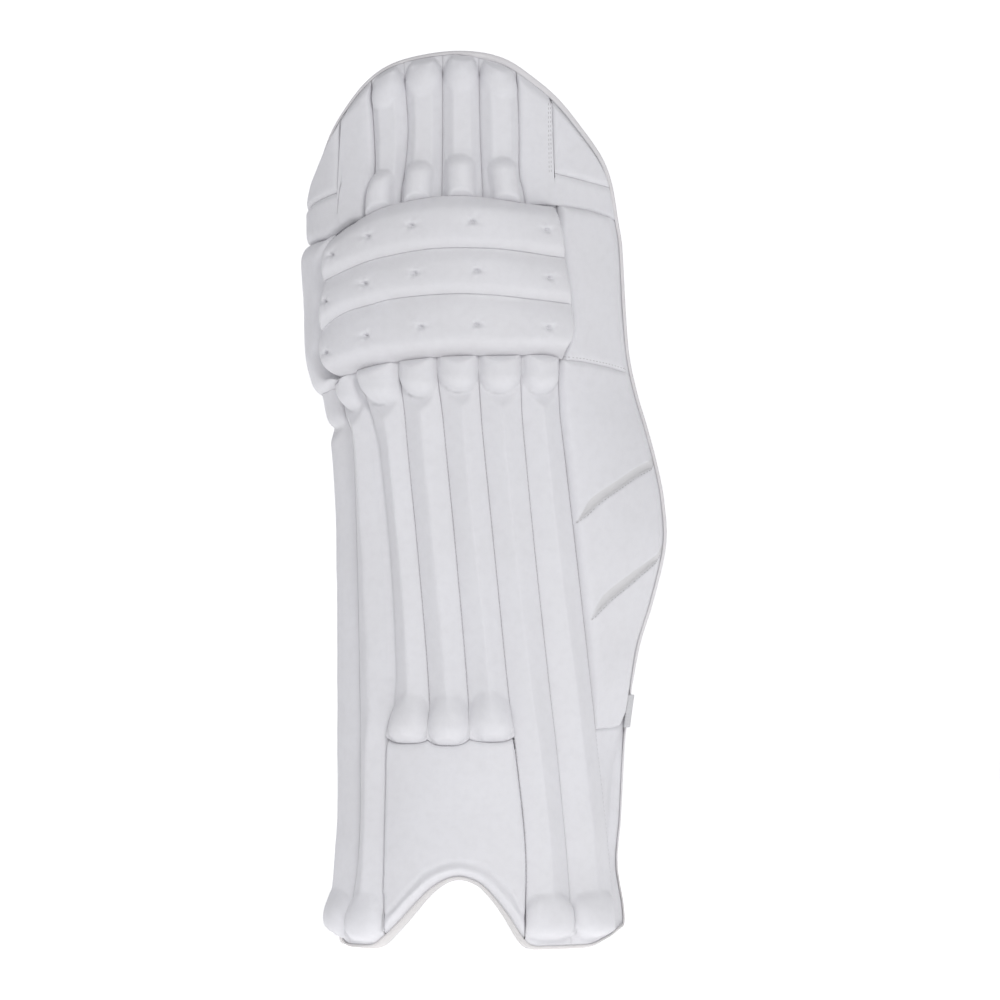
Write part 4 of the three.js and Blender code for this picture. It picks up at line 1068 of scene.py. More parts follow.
def stuff(piece, held):
    """Swells a piece by cloth pressure. held says how firmly each point is held."""
    group = piece.vertex_groups.new(name="held")
    for point in np.flatnonzero(held > 0):
        group.add([int(point)], float(held[point]), "REPLACE")
    cloth = piece.modifiers.new("stuffing", "CLOTH")
    settings = cloth.settings
    settings.vertex_group_mass = "held"
    settings.use_pressure = True
    settings.uniform_pressure_force = STUFFING_PRESSURE
    settings.effector_weights.gravity = 0
    settings.quality = 6
    cloth.point_cache.frame_start = 1
    cloth.point_cache.frame_end = STUFFING_STEPS
    for step in range(1, STUFFING_STEPS + 1):
        bpy.context.scene.frame_set(step)
    before = points_of(piece.data)
    move = points_of(piece.evaluated_get(bpy.context.evaluated_depsgraph_get()).to_mesh()) - before
    piece.modifiers.remove(cloth)
    piece.vertex_groups.remove(group)
    bpy.context.scene.frame_set(1)
    far = np.linalg.norm(move, axis=1, keepdims=True)
    move_points(piece, before + move * np.minimum(1, MOST_SWELL / np.maximum(far, 1e-6)))
    print(f"{piece.name}: swelled by up to {far.max():.1f} mm, kept {MOST_SWELL:.1f}")


def crease(piece, points_in_rim):
    """Keeps the edges between the given points sharp when the piece is subdivided."""
    ends = np.empty(len(piece.data.edges) * 2, int)
    piece.data.edges.foreach_get("vertices", ends)
    sharp = np.isin(ends.reshape(-1, 2), points_in_rim).all(1)
    creases = piece.data.attributes.new("crease_edge", "FLOAT", "EDGE")
    creases.data.foreach_set("value", sharp.astype(np.float32))


def subdivide(piece, times):
    bpy.ops.object.select_all(action="DESELECT")
    piece.select_set(True)
    bpy.context.view_layer.objects.active = piece
    bpy.ops.object.modifier_add(type="SUBSURF")
    piece.modifiers[-1].levels = piece.modifiers[-1].render_levels = times
    bpy.ops.object.modifier_apply(modifier=piece.modifiers[-1].name)


# %% The three bolsters
DIMPLES = {
    "upper": (-0.421, -0.324, -0.204, -0.036, 0.161),
    "middle": (-0.442, -0.332, -0.194, -0.024, 0.169),
    "lower": (-0.442, -0.329, -0.177, -0.024, 0.167),
}
ROLLS = [("upper", "second", "upper"), ("middle", "third", "second"), ("lower", "lower", "third")]
ROLL_TUCKED = 17.5
ROLL_FOOT_ROUND = 10
LOWER_FOOT_ROUND = 15
ROLL_TOP_ROUND = 10
ROLL_RIGHT_ROUND = 8
ROLL_CORNER = 3
OUTER_SEAT = 10.5
INNER_SEAT = 19
DIMPLE_DEPTH, DIMPLE_ACROSS, DIMPLE_ALONG = 3.8, 2.1, 1.5
FOLD_DEPTH, FOLD_ACROSS, FOLD_ALONG = 0.6, 7.0, 3.0
PUCKER_DEPTH, PUCKERS, PUCKER_RING, PUCKER_WIDTH = 0.2, 5, 4.5, 3.0
TIE_HELD = 3.0


def turn_and_level_of(points):
    """The turns and levels of points near the body."""
    level = points[:, 2] / PAD_HEIGHT
    turns = np.linspace(-FLANK_WRAP_TURN, 1, 260)
    best = np.empty(len(points))
    for start in range(0, len(points), 2000):
        part = slice(start, start + 2000)
        lines = body_at(turns[None, :], level[part, None])[0]
        best[part] = turns[np.linalg.norm(lines - points[part, None, :], axis=-1).argmin(1)]
    for _ in range(2):
        here, ahead = body_at(best, level)[0], body_at(best + 0.002, level)[0]
        along = (ahead - here) / 0.002
        best = best + ((points - here) * along).sum(1) / (along**2).sum(1)
    return best, level


for short_name, foot_name, top_name in ROLLS:
    lowest = foot_name == "lower"

    def roll_middle(turn):
        return (roll_seam(foot_name)(turn) + roll_seam(top_name)(turn)) / 2

    def from_ties(turn, level):
        """How far places are across and above each of the bolster's ties, in millimetres."""
        for across in DIMPLES[short_name]:
            tie = float(turn_at(across, roll_middle(0.0), ROLL_SHOULDER))
            middle = roll_middle(tie)
            yield tie, (turn - tie) * girth_at(tie, middle), (level - middle) * PAD_HEIGHT

    def roll_height(at):
        base, outward = body_at(at.turn, at.level)
        swell = np.sin(math.pi / 2 * unit((1 - at.v) / 0.78)) ** 0.85
        tall = blend(ROLL_TUCKED, ROLL_RISE - 1.5, swell)
        seat, foot_round = (OUTER_SEAT, LOWER_FOOT_ROUND) if lowest else (INNER_SEAT, ROLL_FOOT_ROUND)
        tall = blend(seat, tall, ease_off(at.foot, foot_round))
        seat = TOP_SEAT if top_name == "upper" else ROLL_TUCKED
        tall = blend(seat, tall, ease_off(at.top, ROLL_TOP_ROUND))
        tall = blend(ROLL_EDGE, tall, round_off(at.right, ROLL_RIGHT_ROUND))
        end = read_smooth(ROLL_SIDES, "level", "left", at.level) * PAD_WIDTH
        room = base[..., 0] - end - ROLL_CORNER * np.abs(2 * at.v - 1) ** 3
        tall = smooth_min(tall, np.maximum(room / np.maximum(-outward[..., 0], 0.2), 4), 5)
        return np.minimum(tall, sewn_sides(at, ROLL_EDGE, "left", "right", steep=2.5))

    across, along = fine_shares(190, 3.0), fine_shares(32, 2.2)
    edges = {side: roll_side(side) for side in ("left", "right")}
    edges.update(foot=roll_seam(foot_name), top=roll_seam(top_name))
    # painted shade along each bolster's foot, strongest on the lowest, which turns under
    piece = padded_piece(f"knee_roll_{short_name}", edges, roll_height, across, along,
                         seam_reach=3.5, under=(3, 3), foot_shade=1.7 if lowest else 0.4)
    points = points_of(piece.data)
    off_tie = np.min([np.hypot(dx, dz) for _, dx, dz in from_ties(*turn_and_level_of(points))], axis=0)
    grid = np.arange(len(along) * len(across)).reshape(len(along), len(across))
    held = np.ones(len(points))
    held[grid[3:-3, 2:-2]] = 0
    stuff(piece, np.maximum(held, off_tie < TIE_HELD))
    crease(piece, np.concatenate([grid[0], grid[-1], grid[:, 0], grid[:, -1]]))
    subdivide(piece, 2)

    points = points_of(piece.data)
    turn, level = turn_and_level_of(points)
    surface, outward = body_at(turn, level)
    rise = ((points - surface) * outward).sum(1)
    drop = 0
    for tie, dx, dz in from_ties(turn, level):
        folds = np.cos(PUCKERS * np.arctan2(dz, dx) + tie * 9)
        drop += DIMPLE_DEPTH * bell(np.hypot(dx / DIMPLE_ACROSS, dz / DIMPLE_ALONG), 1)
        drop += FOLD_DEPTH * bell(np.hypot(dx / FOLD_ACROSS, dz / FOLD_ALONG), 1)
        drop += PUCKER_DEPTH * folds * bell(np.hypot(dx, dz) - PUCKER_RING, PUCKER_WIDTH)
    move_points(piece, points - outward * (drop * unit((rise - 4) / 6))[:, None])

# %% [markdown]
# ## Flat panels
# The bands and corner panels beside the short canes, the flap and the wing beside the
# bolsters, and the instep with its raised lip are thinner padding. Their faces are nearly
# flat with a soft rounded rim, so one height serves them all with its own thickness.

# %% Edges of the bands and corner panels
LEFT_BAND = {"across": -0.391, "corner": 0.844, "outer": 0.822}
RIGHT_BAND = {"across": 0.179, "corner": 0.865, "outer": 0.846}
LEFT_BAND_FOOT = table("across level", (-0.486, 0.784), (-0.426, 0.792), (-0.360, 0.811))
RIGHT_BAND_FOOT = table(
    "across level", (0.180, 0.829), (0.205, 0.828), (0.278, 0.8235), (0.340, 0.816), (0.371, 0.812))
WING_SEAM = table("across level", (0.202, 0.656), (0.256, 0.654), (0.328, 0.648), (0.394, 0.640))
LEFT_BAND_TURN = -1
CORNER_STEP = 0.006


def by_turn(rows):
    turns = turn_at(rows["across"], rows["level"])
    return lambda turn: np.interp(turn, turns, rows["level"])


def band_top(band, outward):
    """A band's upper edge: under the rim as far as its corner, and outwards down beside it."""
    corner = float(turn_at(band["across"], band["corner"]))

    def level_at(turn):
        past, rim = outward * (turn - corner), inner_top(turn)
        bent_to = blend(band["corner"], band["outer"], unit(past / (1 - outward * corner)))
        bent = blend(rim, bent_to, unit(past / CORNER_STEP))
        return np.where(past <= 0, rim, np.minimum(bent, rim))
    return level_at, corner


def band_foot(line, end, side):
    """A band's lower edge, which follows the upper bolster as far as that one's end."""
    bolster = roll_seam("upper")
    return lambda turn: np.maximum(line(turn), np.where(side * (turn - end) > 0, bolster(turn), 0))


left_band_top, left_corner = band_top(LEFT_BAND, -1)
right_band_top, right_corner = band_top(RIGHT_BAND, 1)
left_foot_line, right_foot_line = by_turn(LEFT_BAND_FOOT), by_turn(RIGHT_BAND_FOOT)
left_band_foot = band_foot(left_foot_line, ROLL_SEAMS["turn"][0], 1)
right_band_foot = band_foot(right_foot_line, float(roll_side("right")(RIGHT_BAND_FOOT["level"][0])), -1)


# %% The flat panels
PANEL_EDGE = 3
JOINED_REACH = 5
PANEL_SLOPE = 1.5
CORNER_MARKS = np.array([-0.02, -0.012, -0.006, 0, 0.006, 0.012, 0.02])


def flat_panel(name, edges, thickness, size, step=2.6, softness=9, marks=(), fill=0.7, extra=None,
               stands_for=None, to_edge=1.3, **joined):
    """A thin panel. joined gives the height at each side that is sewn flush to another panel,
    and extra(rise, at) shapes it further."""
    free = [side for side in ("left", "right", "foot", "top") if side not in joined]

    def panel_height(at):
        rise = np.minimum(blend(PANEL_EDGE, thickness, round_off(nearest(at, free), softness)),
                          sewn_sides(at, PANEL_EDGE, *free, steep=PANEL_SLOPE))
        for side, height in joined.items():
            rise = np.minimum(rise, blend(height, thickness, ease_off(getattr(at, side), JOINED_REACH)))
        return under_binding(extra(rise, at) if extra else rise, at, steep=to_edge)

    padded_piece(name, edges, panel_height, fine_shares(size[0], step, marks), fine_shares(size[1], step),
                 stands_for=stands_for)


def corner_marks(start, end, corner):
    """A band's columns beside its corner, as shares across it."""
    return tuple((corner + CORNER_MARKS - start) / (end - start))


left_band_end, right_band_start = float(top_seam(0)(0.85)), float(top_seam(4)(0.9))
right_band_end = float(wing_side(RIGHT_BAND["outer"]))
flat_panel("top_band_left", {
    "left": fixed_turn(LEFT_BAND_TURN), "right": top_seam(0), "foot": left_band_foot, "top": left_band_top,
}, 8, (70, 70), marks=corner_marks(LEFT_BAND_TURN, left_band_end, left_corner), top=6)
flat_panel("top_band_right", {
    "left": top_seam(4), "right": lambda level: wing_side(np.minimum(level, RIGHT_BAND["outer"])),
    "foot": right_band_foot, "top": right_band_top,
}, 6, (90, 70), marks=corner_marks(right_band_start, right_band_end, right_corner),
    top=4.6, foot=4.6, right=5)

# %% The corner panels
PIPING_INSET, PIPING_WIDTH, PIPING_DEPTH = 5.5, 1.3, 1.1
CORNER_GAP = CORNER_STEP + 0.0005


def piped(rise, at):
    """A soft groove runs beside the outer edge."""
    return rise - PIPING_DEPTH * bell(at.top - PIPING_INSET, PIPING_WIDTH) * unit(at.foot / 8)


flat_panel("corner_panel_left", {
    "left": fixed_turn(-0.965), "right": fixed_turn(left_corner - CORNER_GAP),
    "foot": lambda turn: left_band_top(turn) + 0.2 / PAD_HEIGHT, "top": inner_top,
}, 8, (40, 60), step=1.5, softness=7, extra=piped, right=6, foot=6)
past_corner = np.linspace(0.5, 1, 500)
corner_end = past_corner[inner_top(past_corner) - right_band_top(past_corner) > 1.5 / PAD_HEIGHT][-1]
flat_panel("corner_panel_right", {
    "left": fixed_turn(right_corner + CORNER_GAP), "right": fixed_turn(corner_end),
    "foot": lambda turn: right_band_top(turn) + 0.1 / PAD_HEIGHT, "top": inner_top,
}, 7, (60, 60), step=1.5, softness=7, extra=piped, left=4.9, foot=4.9)

# %% The flap and the knee wing
FLAP_RISE = 12.5
FLAP_FULLNESS = 5.5
FLAP_SEAT = 9.5
WING_TO_EDGE = 0.55


def beside(edge, side):
    """A line one millimetre beside an edge."""
    return lambda level: edge(level) + side / girth_at(edge(level), level)


def full_flap(rise, at):
    """The flap is fullest beside the lower bolster and rounds off quickly at its foot."""
    full = FLAP_RISE + FLAP_FULLNESS * bell(at.level - 0.650, 0.045)
    tall = blend(FLAP_SEAT, full, round_off(at.foot, 8))
    tall = blend(PANEL_EDGE, tall, round_off(np.minimum(at.right, at.top), 13))
    return np.minimum(tall, sewn_sides(at, PANEL_EDGE, "left", "right", "top"))


flat_panel("knee_flap", {
    "left": fixed_turn(-FLANK_COVER_TURN), "right": beside(roll_side("left"), -1),
    "foot": cane_top, "top": lambda turn: np.minimum(left_foot_line(turn), inner_top(turn)),
}, FLAP_RISE, (45, 110), step=2, fill=0.8, extra=full_flap)
wing_seam = by_turn(WING_SEAM)
flat_panel("knee_wing", {
    "left": lambda level: np.maximum(beside(roll_side("right"), 1)(level), shin_seam(6, 0.5)(level)),
    "right": wing_side, "foot": wing_seam, "top": right_foot_line,
}, 9, (70, 115), softness=10, to_edge=WING_TO_EDGE, foot=7.2, top=5.4)

# %% Instep and arch lip
INSTEP_RISE = 6
LIP_RISE = 7.6
LIP_WIDTH = 11
LIP_CREASE = 0.7
INSTEP_GAP = 0.05


def instep_top(turn):
    """The instep's upper edge follows the rounded ends of the three middle canes."""
    level = np.full_like(turn, INSTEP_TOP_LEVEL)
    for index in (2, 3, 4):
        left, right = cane_sides(index)
        low = SHIN_CANES["foot"][index] + 0.01
        under = (turn >= left(low)) & (turn <= right(low))
        level = np.where(under, rounded_foot(index, turn) - INSTEP_GAP / PAD_HEIGHT, level)
    return level


lip_level = inside_edge(foot_level, 1, RIM_MARGIN + LIP_WIDTH)


def instep_shape(rise, at):
    """A soft roll along the arch, with a faint crease where the flat part begins."""
    low = inner_foot(at.turn)
    from_foot = (at.level - low) / (lip_level(at.turn) - low) * LIP_WIDTH
    middle = LIP_WIDTH / 2
    roll = LIP_RISE * np.sqrt(positive(1 - ((from_foot - middle) / (middle + 0.8)) ** 2))
    ends = PANEL_EDGE + np.minimum(at.left, at.right) * 0.5
    tall = smooth_max(rise, np.minimum(roll, ends), 1.0)
    return tall - LIP_CREASE * bell(from_foot - LIP_WIDTH - 0.6, 1.6)


flat_panel("instep", {
    "left": shin_seam(1, valley_edge), "right": shin_seam(4, -0.3), "foot": inner_foot, "top": instep_top,
}, INSTEP_RISE, (105, 120), step=1.6, softness=6, extra=instep_shape,
    stands_for=("instep_panel", "arch_lip"))

# %% [markdown]
# ## Shin wing
# The wing is one stiff padded panel with two wedge-shaped bands pressed into it. Each band
# runs up to the wing's edge, deepest along its stitched lower line, and fades to a curved
# point. The photograph gives the two lines of each band, as places across and levels.

# %% The wing with its pressed bands
WING_GROOVES = [
    {
        "upper": table("across level", (0.2350, 0.4700), (0.2556, 0.4799), (0.2868, 0.5006),
                       (0.3485, 0.5184), (0.4218, 0.5379), (0.5000, 0.5520)),
        "lower": table("across level", (0.2350, 0.4700), (0.2697, 0.4799), (0.3204, 0.4984),
                       (0.3595, 0.5095), (0.4218, 0.5266), (0.5000, 0.5440)),
    },
    {
        "upper": table("across level", (0.2860, 0.3640), (0.2923, 0.3730), (0.3204, 0.3925),
                       (0.3934, 0.4162), (0.4499, 0.4322), (0.5100, 0.4506)),
        "lower": table("across level", (0.2860, 0.3640), (0.2990, 0.3690), (0.3430, 0.3870),
                       (0.3934, 0.4037), (0.4441, 0.4208), (0.5100, 0.4430)),
    },
]
WING_FOOT = table(
    "across level", (0.29, 0.243), (0.345, 0.244), (0.366, 0.246), (0.402, 0.287), (0.43, 0.293))
GROOVE_DEPTH = 2.6
GROOVE_POINT = 9
WALL_WIDTH = 0.9
WING_RISE = 9
THIN_FOOT = 4
FOOT_SLOPE = 0.12


def wing_shape(rise, at):
    shown = placed(at.turn, at.level, rise)[..., 0] / PAD_WIDTH
    drop = 0
    for groove in WING_GROOVES:
        high, low = (read_smooth(groove[line], "across", "level", shown) for line in ("upper", "lower"))
        below_top, above_foot = (high - at.level) * PAD_HEIGHT, (at.level - low) * PAD_HEIGHT
        width = np.maximum((high - low) * PAD_HEIGHT, 0.01)
        started = unit((shown - groove["upper"]["across"][0]) * PAD_WIDTH / GROOVE_POINT) ** 0.7
        started = started * unit(above_foot / WALL_WIDTH + 0.5)
        drop = np.maximum(drop, GROOVE_DEPTH * unit(below_top / width) ** 0.5 * started)
        at.inlay_and_painted_shade = np.maximum(at.inlay_and_painted_shade, unit(below_top / 1.2 + 0.3) * started)
    thin = THIN_FOOT + positive(at.level - WING_FOOT["level"][0]) * PAD_HEIGHT * FOOT_SLOPE
    return np.maximum(smooth_min(rise, thin, 1.5) - drop * unit((at.edge - 3) / 5), 2.2)


flat_panel("shin_wing", {
    "left": shin_seam(6, 0.25), "right": wing_side, "foot": by_turn(WING_FOOT), "top": wing_seam,
}, WING_RISE, (75, 190 / 0.42), step=1.4, softness=9, extra=wing_shape, to_edge=WING_TO_EDGE, top=7.2)

# %% [markdown]
# ## The back: shell, lining and binding
# The padded back is a leather shell in front and a quilted cloth lining against the leg.
# A folded tape binds their edges all round. The tape is a sheet that follows the rim, so
# its section is swept along it.

# %% Shell and lining
SHELL_THICKNESS = 3.6
SHELL_DROP = 1.2
ANKLE_FILL = 1.1
ANKLE_FOLD = table(
    "level across", (0.050, 0.333), (0.093, 0.337), (0.150, 0.350), (0.210, 0.363), (0.244, 0.378))
SHEET_COLUMNS = 170
SHEET_ROWS = 230
SHEET_INSET = 0.4
QUILT_PITCH = 32
QUILT_DEPTH = 1.8
ROUNDED_RIM = 4.5
SHEET_GAP = 0.5


def back_sheet(rise_of):
    """A sheet over the whole back, and what is known at its spots."""
    at_rim = np.array([SHEET_INSET, 0.9, 1.5, 2.2, 3.2]) / 150
    middle = np.linspace(-FLANK_WRAP_TURN, 1, SHEET_COLUMNS)[3:-3]
    turns = np.concatenate([-FLANK_WRAP_TURN + at_rim, middle, 1 - at_rim[::-1]])
    shares = fine_shares(640, 640 / SHEET_ROWS)
    turn = np.broadcast_to(turns, (len(shares), len(turns)))
    inset = SHEET_INSET / PAD_HEIGHT
    level = blend(foot_level(turn) + inset, top_level(turn) - inset, shares[:, None])
    base = placed(turn, level, 0)
    at = SimpleNamespace(turn=turn, level=level, base=base, **distances(base))
    return placed(turn, level, rise_of(at)), at


def shell_front(at):
    """Drawn down at the rim under the binding, with soft folds where nothing covers the ankle."""
    folds = unit((0.235 - at.level) / 0.05) * unit((at.turn - 0.55) / 0.15)
    wave = 0.85 * (1 + np.sin(at.turn * 40 + at.level * 5)) + 0.5 * np.sin(at.turn * 71 - at.level * 12)
    bare = unit((at.turn - shin_seam(6)(at.level)) * 130 - 0.5) * unit((0.25 - at.level) / 0.02)
    off_fold = at.base[..., 0] - read_smooth(ANKLE_FOLD, "level", "across", at.level) * PAD_WIDTH
    fold = 1.5 * bell(off_fold, 1.8) * unit((at.level - 0.06) / 0.05)
    filled = (ANKLE_FILL * bell(at.rim, 5) - fold) * bare
    return filled - SHELL_DROP * (1 - round_off(at.rim, 1.2)) - wave * folds * unit(at.rim / 5)


def shell_back(at):
    return -SHELL_THICKNESS - 1.2 * (1 - round_off(at.rim, ROUNDED_RIM))


def lining_front(at):
    return -SHELL_THICKNESS - SHEET_GAP - 1.4 * (1 - round_off(at.rim, ROUNDED_RIM))


def lining_back(at):
    """Sewn from top to foot in soft channels."""
    channel = np.abs(np.sin(np.pi * at.left / QUILT_PITCH)) ** 0.5
    full = BACKING_THICKNESS - QUILT_DEPTH * (1 - channel)
    return -full + (full - SHELL_THICKNESS - 3.2) * (1 - round_off(at.rim, 6))


def close_back(name, front, back, finish, seam_reach):
    outer, at = back_sheet(front)
    points, faces = close_sheets(outer, back_sheet(back)[0])
    # on the shell, painted shade and dirt near the rim; the lining's cloth finish does not use it
    seam = np.tile(np.exp(-at.rim / seam_reach).ravel(), 2)
    cloth = np.tile(np.stack([at.left, at.base[..., 2]], -1).reshape(-1, 2) / 1000, (2, 1))
    piece = make_object(name, points, faces, finish, ("backing",), {"seam": seam, "inlay_and_painted_shade": seam * 0},
                        cloth if finish == lining_cloth else None)
    print(f"{name}: {len(faces)} faces")


close_back("backing_shell", shell_front, shell_back, leather, 1.2)
close_back("backing_lining", lining_front, lining_back, lining_cloth, 4.0)


# %% Binding round the rim
BINDING_PUCKER = 0.1


def rim_frames(loop):
    """At each station: its point, the way out from the leg, and the way in from the edge."""
    point, outward = body_at(loop[:, 0], loop[:, 1])
    inward = np.cross(outward, np.roll(point, -1, 0) - np.roll(point, 1, 0))
    return point, outward, inward / np.linalg.norm(inward, axis=1, keepdims=True)


BINDING_SECTION = np.array([
    # inset from the edge, rise off the body
    (2.3, 1.35), (2.45, 1.8), (2.1, 2.25), (1.4, 2.4), (0.6, 2.0), (0.0, 1.1), (-0.4, -0.4), (-0.6, -2.6),
    (-0.6, -5.0), (-0.5, -7.6), (0.1, -9.8), (1.4, -11.0), (3.4, -11.3), (5.6, -11.1), (5.7, -10.7),
    (3.4, -10.6), (1.4, -10.2), (0.5, -8.6), (0.2, -5.0), (0.3, -1.6), (0.5, 0.5), (1.0, 1.2), (1.7, 1.4),
])


inset, rise = BINDING_SECTION.T
station = np.arange(len(rim))[:, None]
pucker = BINDING_PUCKER * positive(rise - 1.0) / 2 * np.sin(station * 1.9 + np.sin(station * 0.37) * 2)
lip = unit(inset / 2.4) * (rise > 0) * widened(rim[:, 0], rim[:, 1])[:, None]
point, outward, inward = (way[:, None] for way in rim_frames(rim))
points = point + inward * (inset + LIP_WIDENING * lip)[..., None] + outward * (rise + pucker)[..., None]
here = np.arange(rise.size * len(rim)).reshape(len(rim), -1)
ahead = np.roll(here, -1, 0)
faces = np.stack([here, np.roll(here, -1, 1), np.roll(ahead, -1, 1), ahead], -1).reshape(-1, 4).tolist()
# painted shade on the tape where it is tucked in under its fold
tucked_in = np.tile(unit((inset - 1.6) / 1.5), len(rim))
painted_floor_shade = np.repeat(unit((0.11 - rim[:, 1]) / 0.04), rise.size)  # painted shade: the tape is darker down there, near the floor
make_object("rim_binding", points.reshape(-1, 3), faces, binding_leather, ("rim_bead",),
            {"seam": tucked_in, "inlay_and_painted_shade": painted_floor_shade})
print("rim_binding:", len(faces), "faces")

# %% [markdown]
# ## Straps
# Three loops of webbing go round behind the leg. A strap is flat and stiff across its
# width, so it is modelled directly, as a band along a smooth curve from one sewn end to the
# other, with rolled edges. The lowest one is sewn over the wing's edge, where it shows.

# %% The three straps
STRAP_THICKNESS = 2.5
STRAP_GAP = 0.9
STRAP_SLACK = 62
FOLD_RISE = 3.2
FOLD_REACH = 7.5
END_PRESSED = 0.55
FLANK_SEWN = (-0.80, -0.96)
WING_SEWN = (0.70, 0.84)
STRAPS = [
    # name, level, width, sewn over the edge
    ("knee_strap", 0.735, 38, False),
    ("calf_strap", 0.470, 38, False),
    ("ankle_strap", 0.262, 25, True),
]


def strap_line(level, on_edge):
    """The middle line of a strap at a level, from the flank round the back to the wing."""
    depth = -(BACKING_THICKNESS + STRAP_GAP + STRAP_THICKNESS / 2)
    shares = np.linspace(0, 1, 9)
    left = placed(blend(*FLANK_SEWN, shares), level, depth)
    if on_edge:
        _, outward = body_at(1.0, level)
        beyond = np.array([-outward[1], outward[0], 0])
        side = placed(np.ones(9), level, blend(FOLD_RISE, depth, shares))
        side = side + beyond * (STRAP_GAP + STRAP_THICKNESS * END_PRESSED / 2)
        insets = np.linspace(FOLD_REACH, 0.5, 6)
        front = placed(1 - insets / girth_at(1.0, level), level, FOLD_RISE + 0.6)
        right = np.concatenate([front, side])
    else:
        right = placed(blend(*WING_SEWN, shares), level, depth)

    def leave(line):
        way = line[-1] - line[-2]
        return line[-1] + way / np.linalg.norm(way) * STRAP_SLACK
    s = np.linspace(0, 1, 90)[1:-1, None]
    behind = ((1 - s) ** 3 * left[-1] + 3 * s * (1 - s) ** 2 * leave(left)
              + 3 * s * s * (1 - s) * leave(right) + s**3 * right[-1])
    return np.concatenate([left, behind, right[::-1]])


ACROSS_STRAP = np.array([0, 0.02, 0.06, 0.15, 0.3, 0.5, 0.7, 0.85, 0.94, 0.98, 1])
for name, strap_level, width, on_edge in STRAPS:
    sheets = []
    for side in (1, -1):
        rows = []
        for share in ACROSS_STRAP:
            line = strap_line(strap_level + (share - 0.5) * width / PAD_HEIGHT, on_edge)
            along = np.gradient(line, axis=0) * (1, 1, 0)
            along /= np.linalg.norm(along, axis=1, keepdims=True)
            square = np.stack([along[:, 1], -along[:, 0], np.zeros(len(line))], -1)
            half = STRAP_THICKNESS / 2 * (0.25 + 0.75 * round_off(min(share, 1 - share) * width, 1.6))
            folded = on_edge & (np.arange(len(line)) > len(line) - 14)
            rows.append(line + square * side * (half * np.where(folded, END_PRESSED, 1))[:, None])
        sheets.append(np.array(rows))
    points, faces = close_sheets(*sheets)
    run = run_along(sheets[0][5]) / 1000
    uv = np.stack(np.meshgrid(run, ACROSS_STRAP * width / 1000), -1).reshape(-1, 2)
    make_object(f"{name}_webbing", points, faces, webbing_cloth, (name,), uv=np.tile(uv, (2, 1)))
    print(f"{name}: {run[-1] * 1000:.0f} mm long, {width} mm wide")

# %% [markdown]
# ## Stitches
# The seams that show their thread are those between the canes, the lower line of each
# pressed band, the two rows down the right L-shaped band, the row at the knee wing's foot
# and the one behind the binding. One stitch is modelled once, as a small rounded bar, and
# copied along every line, half sunk.

# %% One stitch, and lines of it
STITCH_PITCH = 3.4
STITCH_LENGTH = 2.5
STITCH_WIDTH = 0.75
SEAM_STITCH_RISE = 2.75
BINDING_PITCH = 4.2
BACK_ROW_INSET, BACK_ROW_DEPTH = 3.6, 11.3
BAND_ROWS = (1.5, 3.3)

bpy.ops.object.select_all(action="DESELECT")
bpy.ops.mesh.primitive_uv_sphere_add(segments=8, ring_count=5, radius=0.5)
stitch_model = bpy.context.object
stitch_model.scale = (STITCH_LENGTH, STITCH_WIDTH, STITCH_WIDTH)
bpy.ops.object.transform_apply(location=False, rotation=False, scale=True)
stitch_points = np.array([tuple(v.co) for v in stitch_model.data.vertices])
stitch_faces = [tuple(p.vertices) for p in stitch_model.data.polygons]
bpy.data.objects.remove(stitch_model)
print("one stitch:", len(stitch_faces), "faces")


def sew(name, lines, pitch=STITCH_PITCH):
    """Copies the stitch along lines of (points, outward directions)."""
    points, faces = [], []
    for line, outward in lines:
        steps = run_along(line)

        def read(rows, mark):
            return np.array([np.interp(mark, steps, column) for column in rows.T])

        for mark in np.arange(pitch / 2, steps[-1] - pitch / 2, pitch):
            here = read(line, mark)
            way = read(line, mark + 0.8) - here
            way /= np.linalg.norm(way)
            side = np.cross(read(outward, mark), way)
            side /= np.linalg.norm(side)
            faces.extend(tuple(i + len(points) * len(stitch_points) for i in f) for f in stitch_faces)
            points.append(stitch_points @ np.array([way, side, np.cross(way, side)]) + here)
    make_object(name, np.concatenate(points), faces, thread)
    print(f"{name}: {len(points)} stitches")


# %% Where the stitches lie
def surface_line(piece_name, turns, levels, sink=0.15):
    """Points on a piece's outer face at turns and levels, found from outside, with the ways out."""
    mesh = bpy.data.objects[f"{piece_name}_leather"].data
    skin = BVHTree.FromPolygons([v.co for v in mesh.vertices], [p.vertices for p in mesh.polygons])
    base, outward = body_at(np.asarray(turns, float), np.asarray(levels, float))
    kept, ways = [], []
    for point, out in zip(base, outward):
        start = Vector((point + out * 60 + SHIFT) / 1000)
        place, normal, _, _ = skin.ray_cast(start, -Vector(out))
        if place is not None:
            kept.append(np.array(place) * 1000 - SHIFT - out * sink)
            ways.append(np.array(normal))
    return np.array(kept), np.array(ways)


band_lines = []
corner_girth = float(girth_at(right_corner, 0.9))
for inset in BAND_ROWS:
    levels = np.linspace(0.944, RIGHT_BAND["corner"] - inset / PAD_HEIGHT, 40)
    turns = np.full(40, right_corner - inset / corner_girth)
    band_lines.append(surface_line("top_band_right", turns, levels))
sew("band_stitches", [line for line in band_lines if len(line[0]) > 2])

groove_lines = []
for groove in WING_GROOVES:
    across = np.linspace(groove["lower"]["across"][0] + 0.004, groove["lower"]["across"][-1] - 0.012, 60)
    levels = read_smooth(groove["lower"], "across", "level", across) - 0.5 / PAD_HEIGHT
    groove_lines.append(surface_line("shin_wing", turn_at(across, levels, WING_RISE), levels, sink=0.0))
sew("wing_stitches", groove_lines)

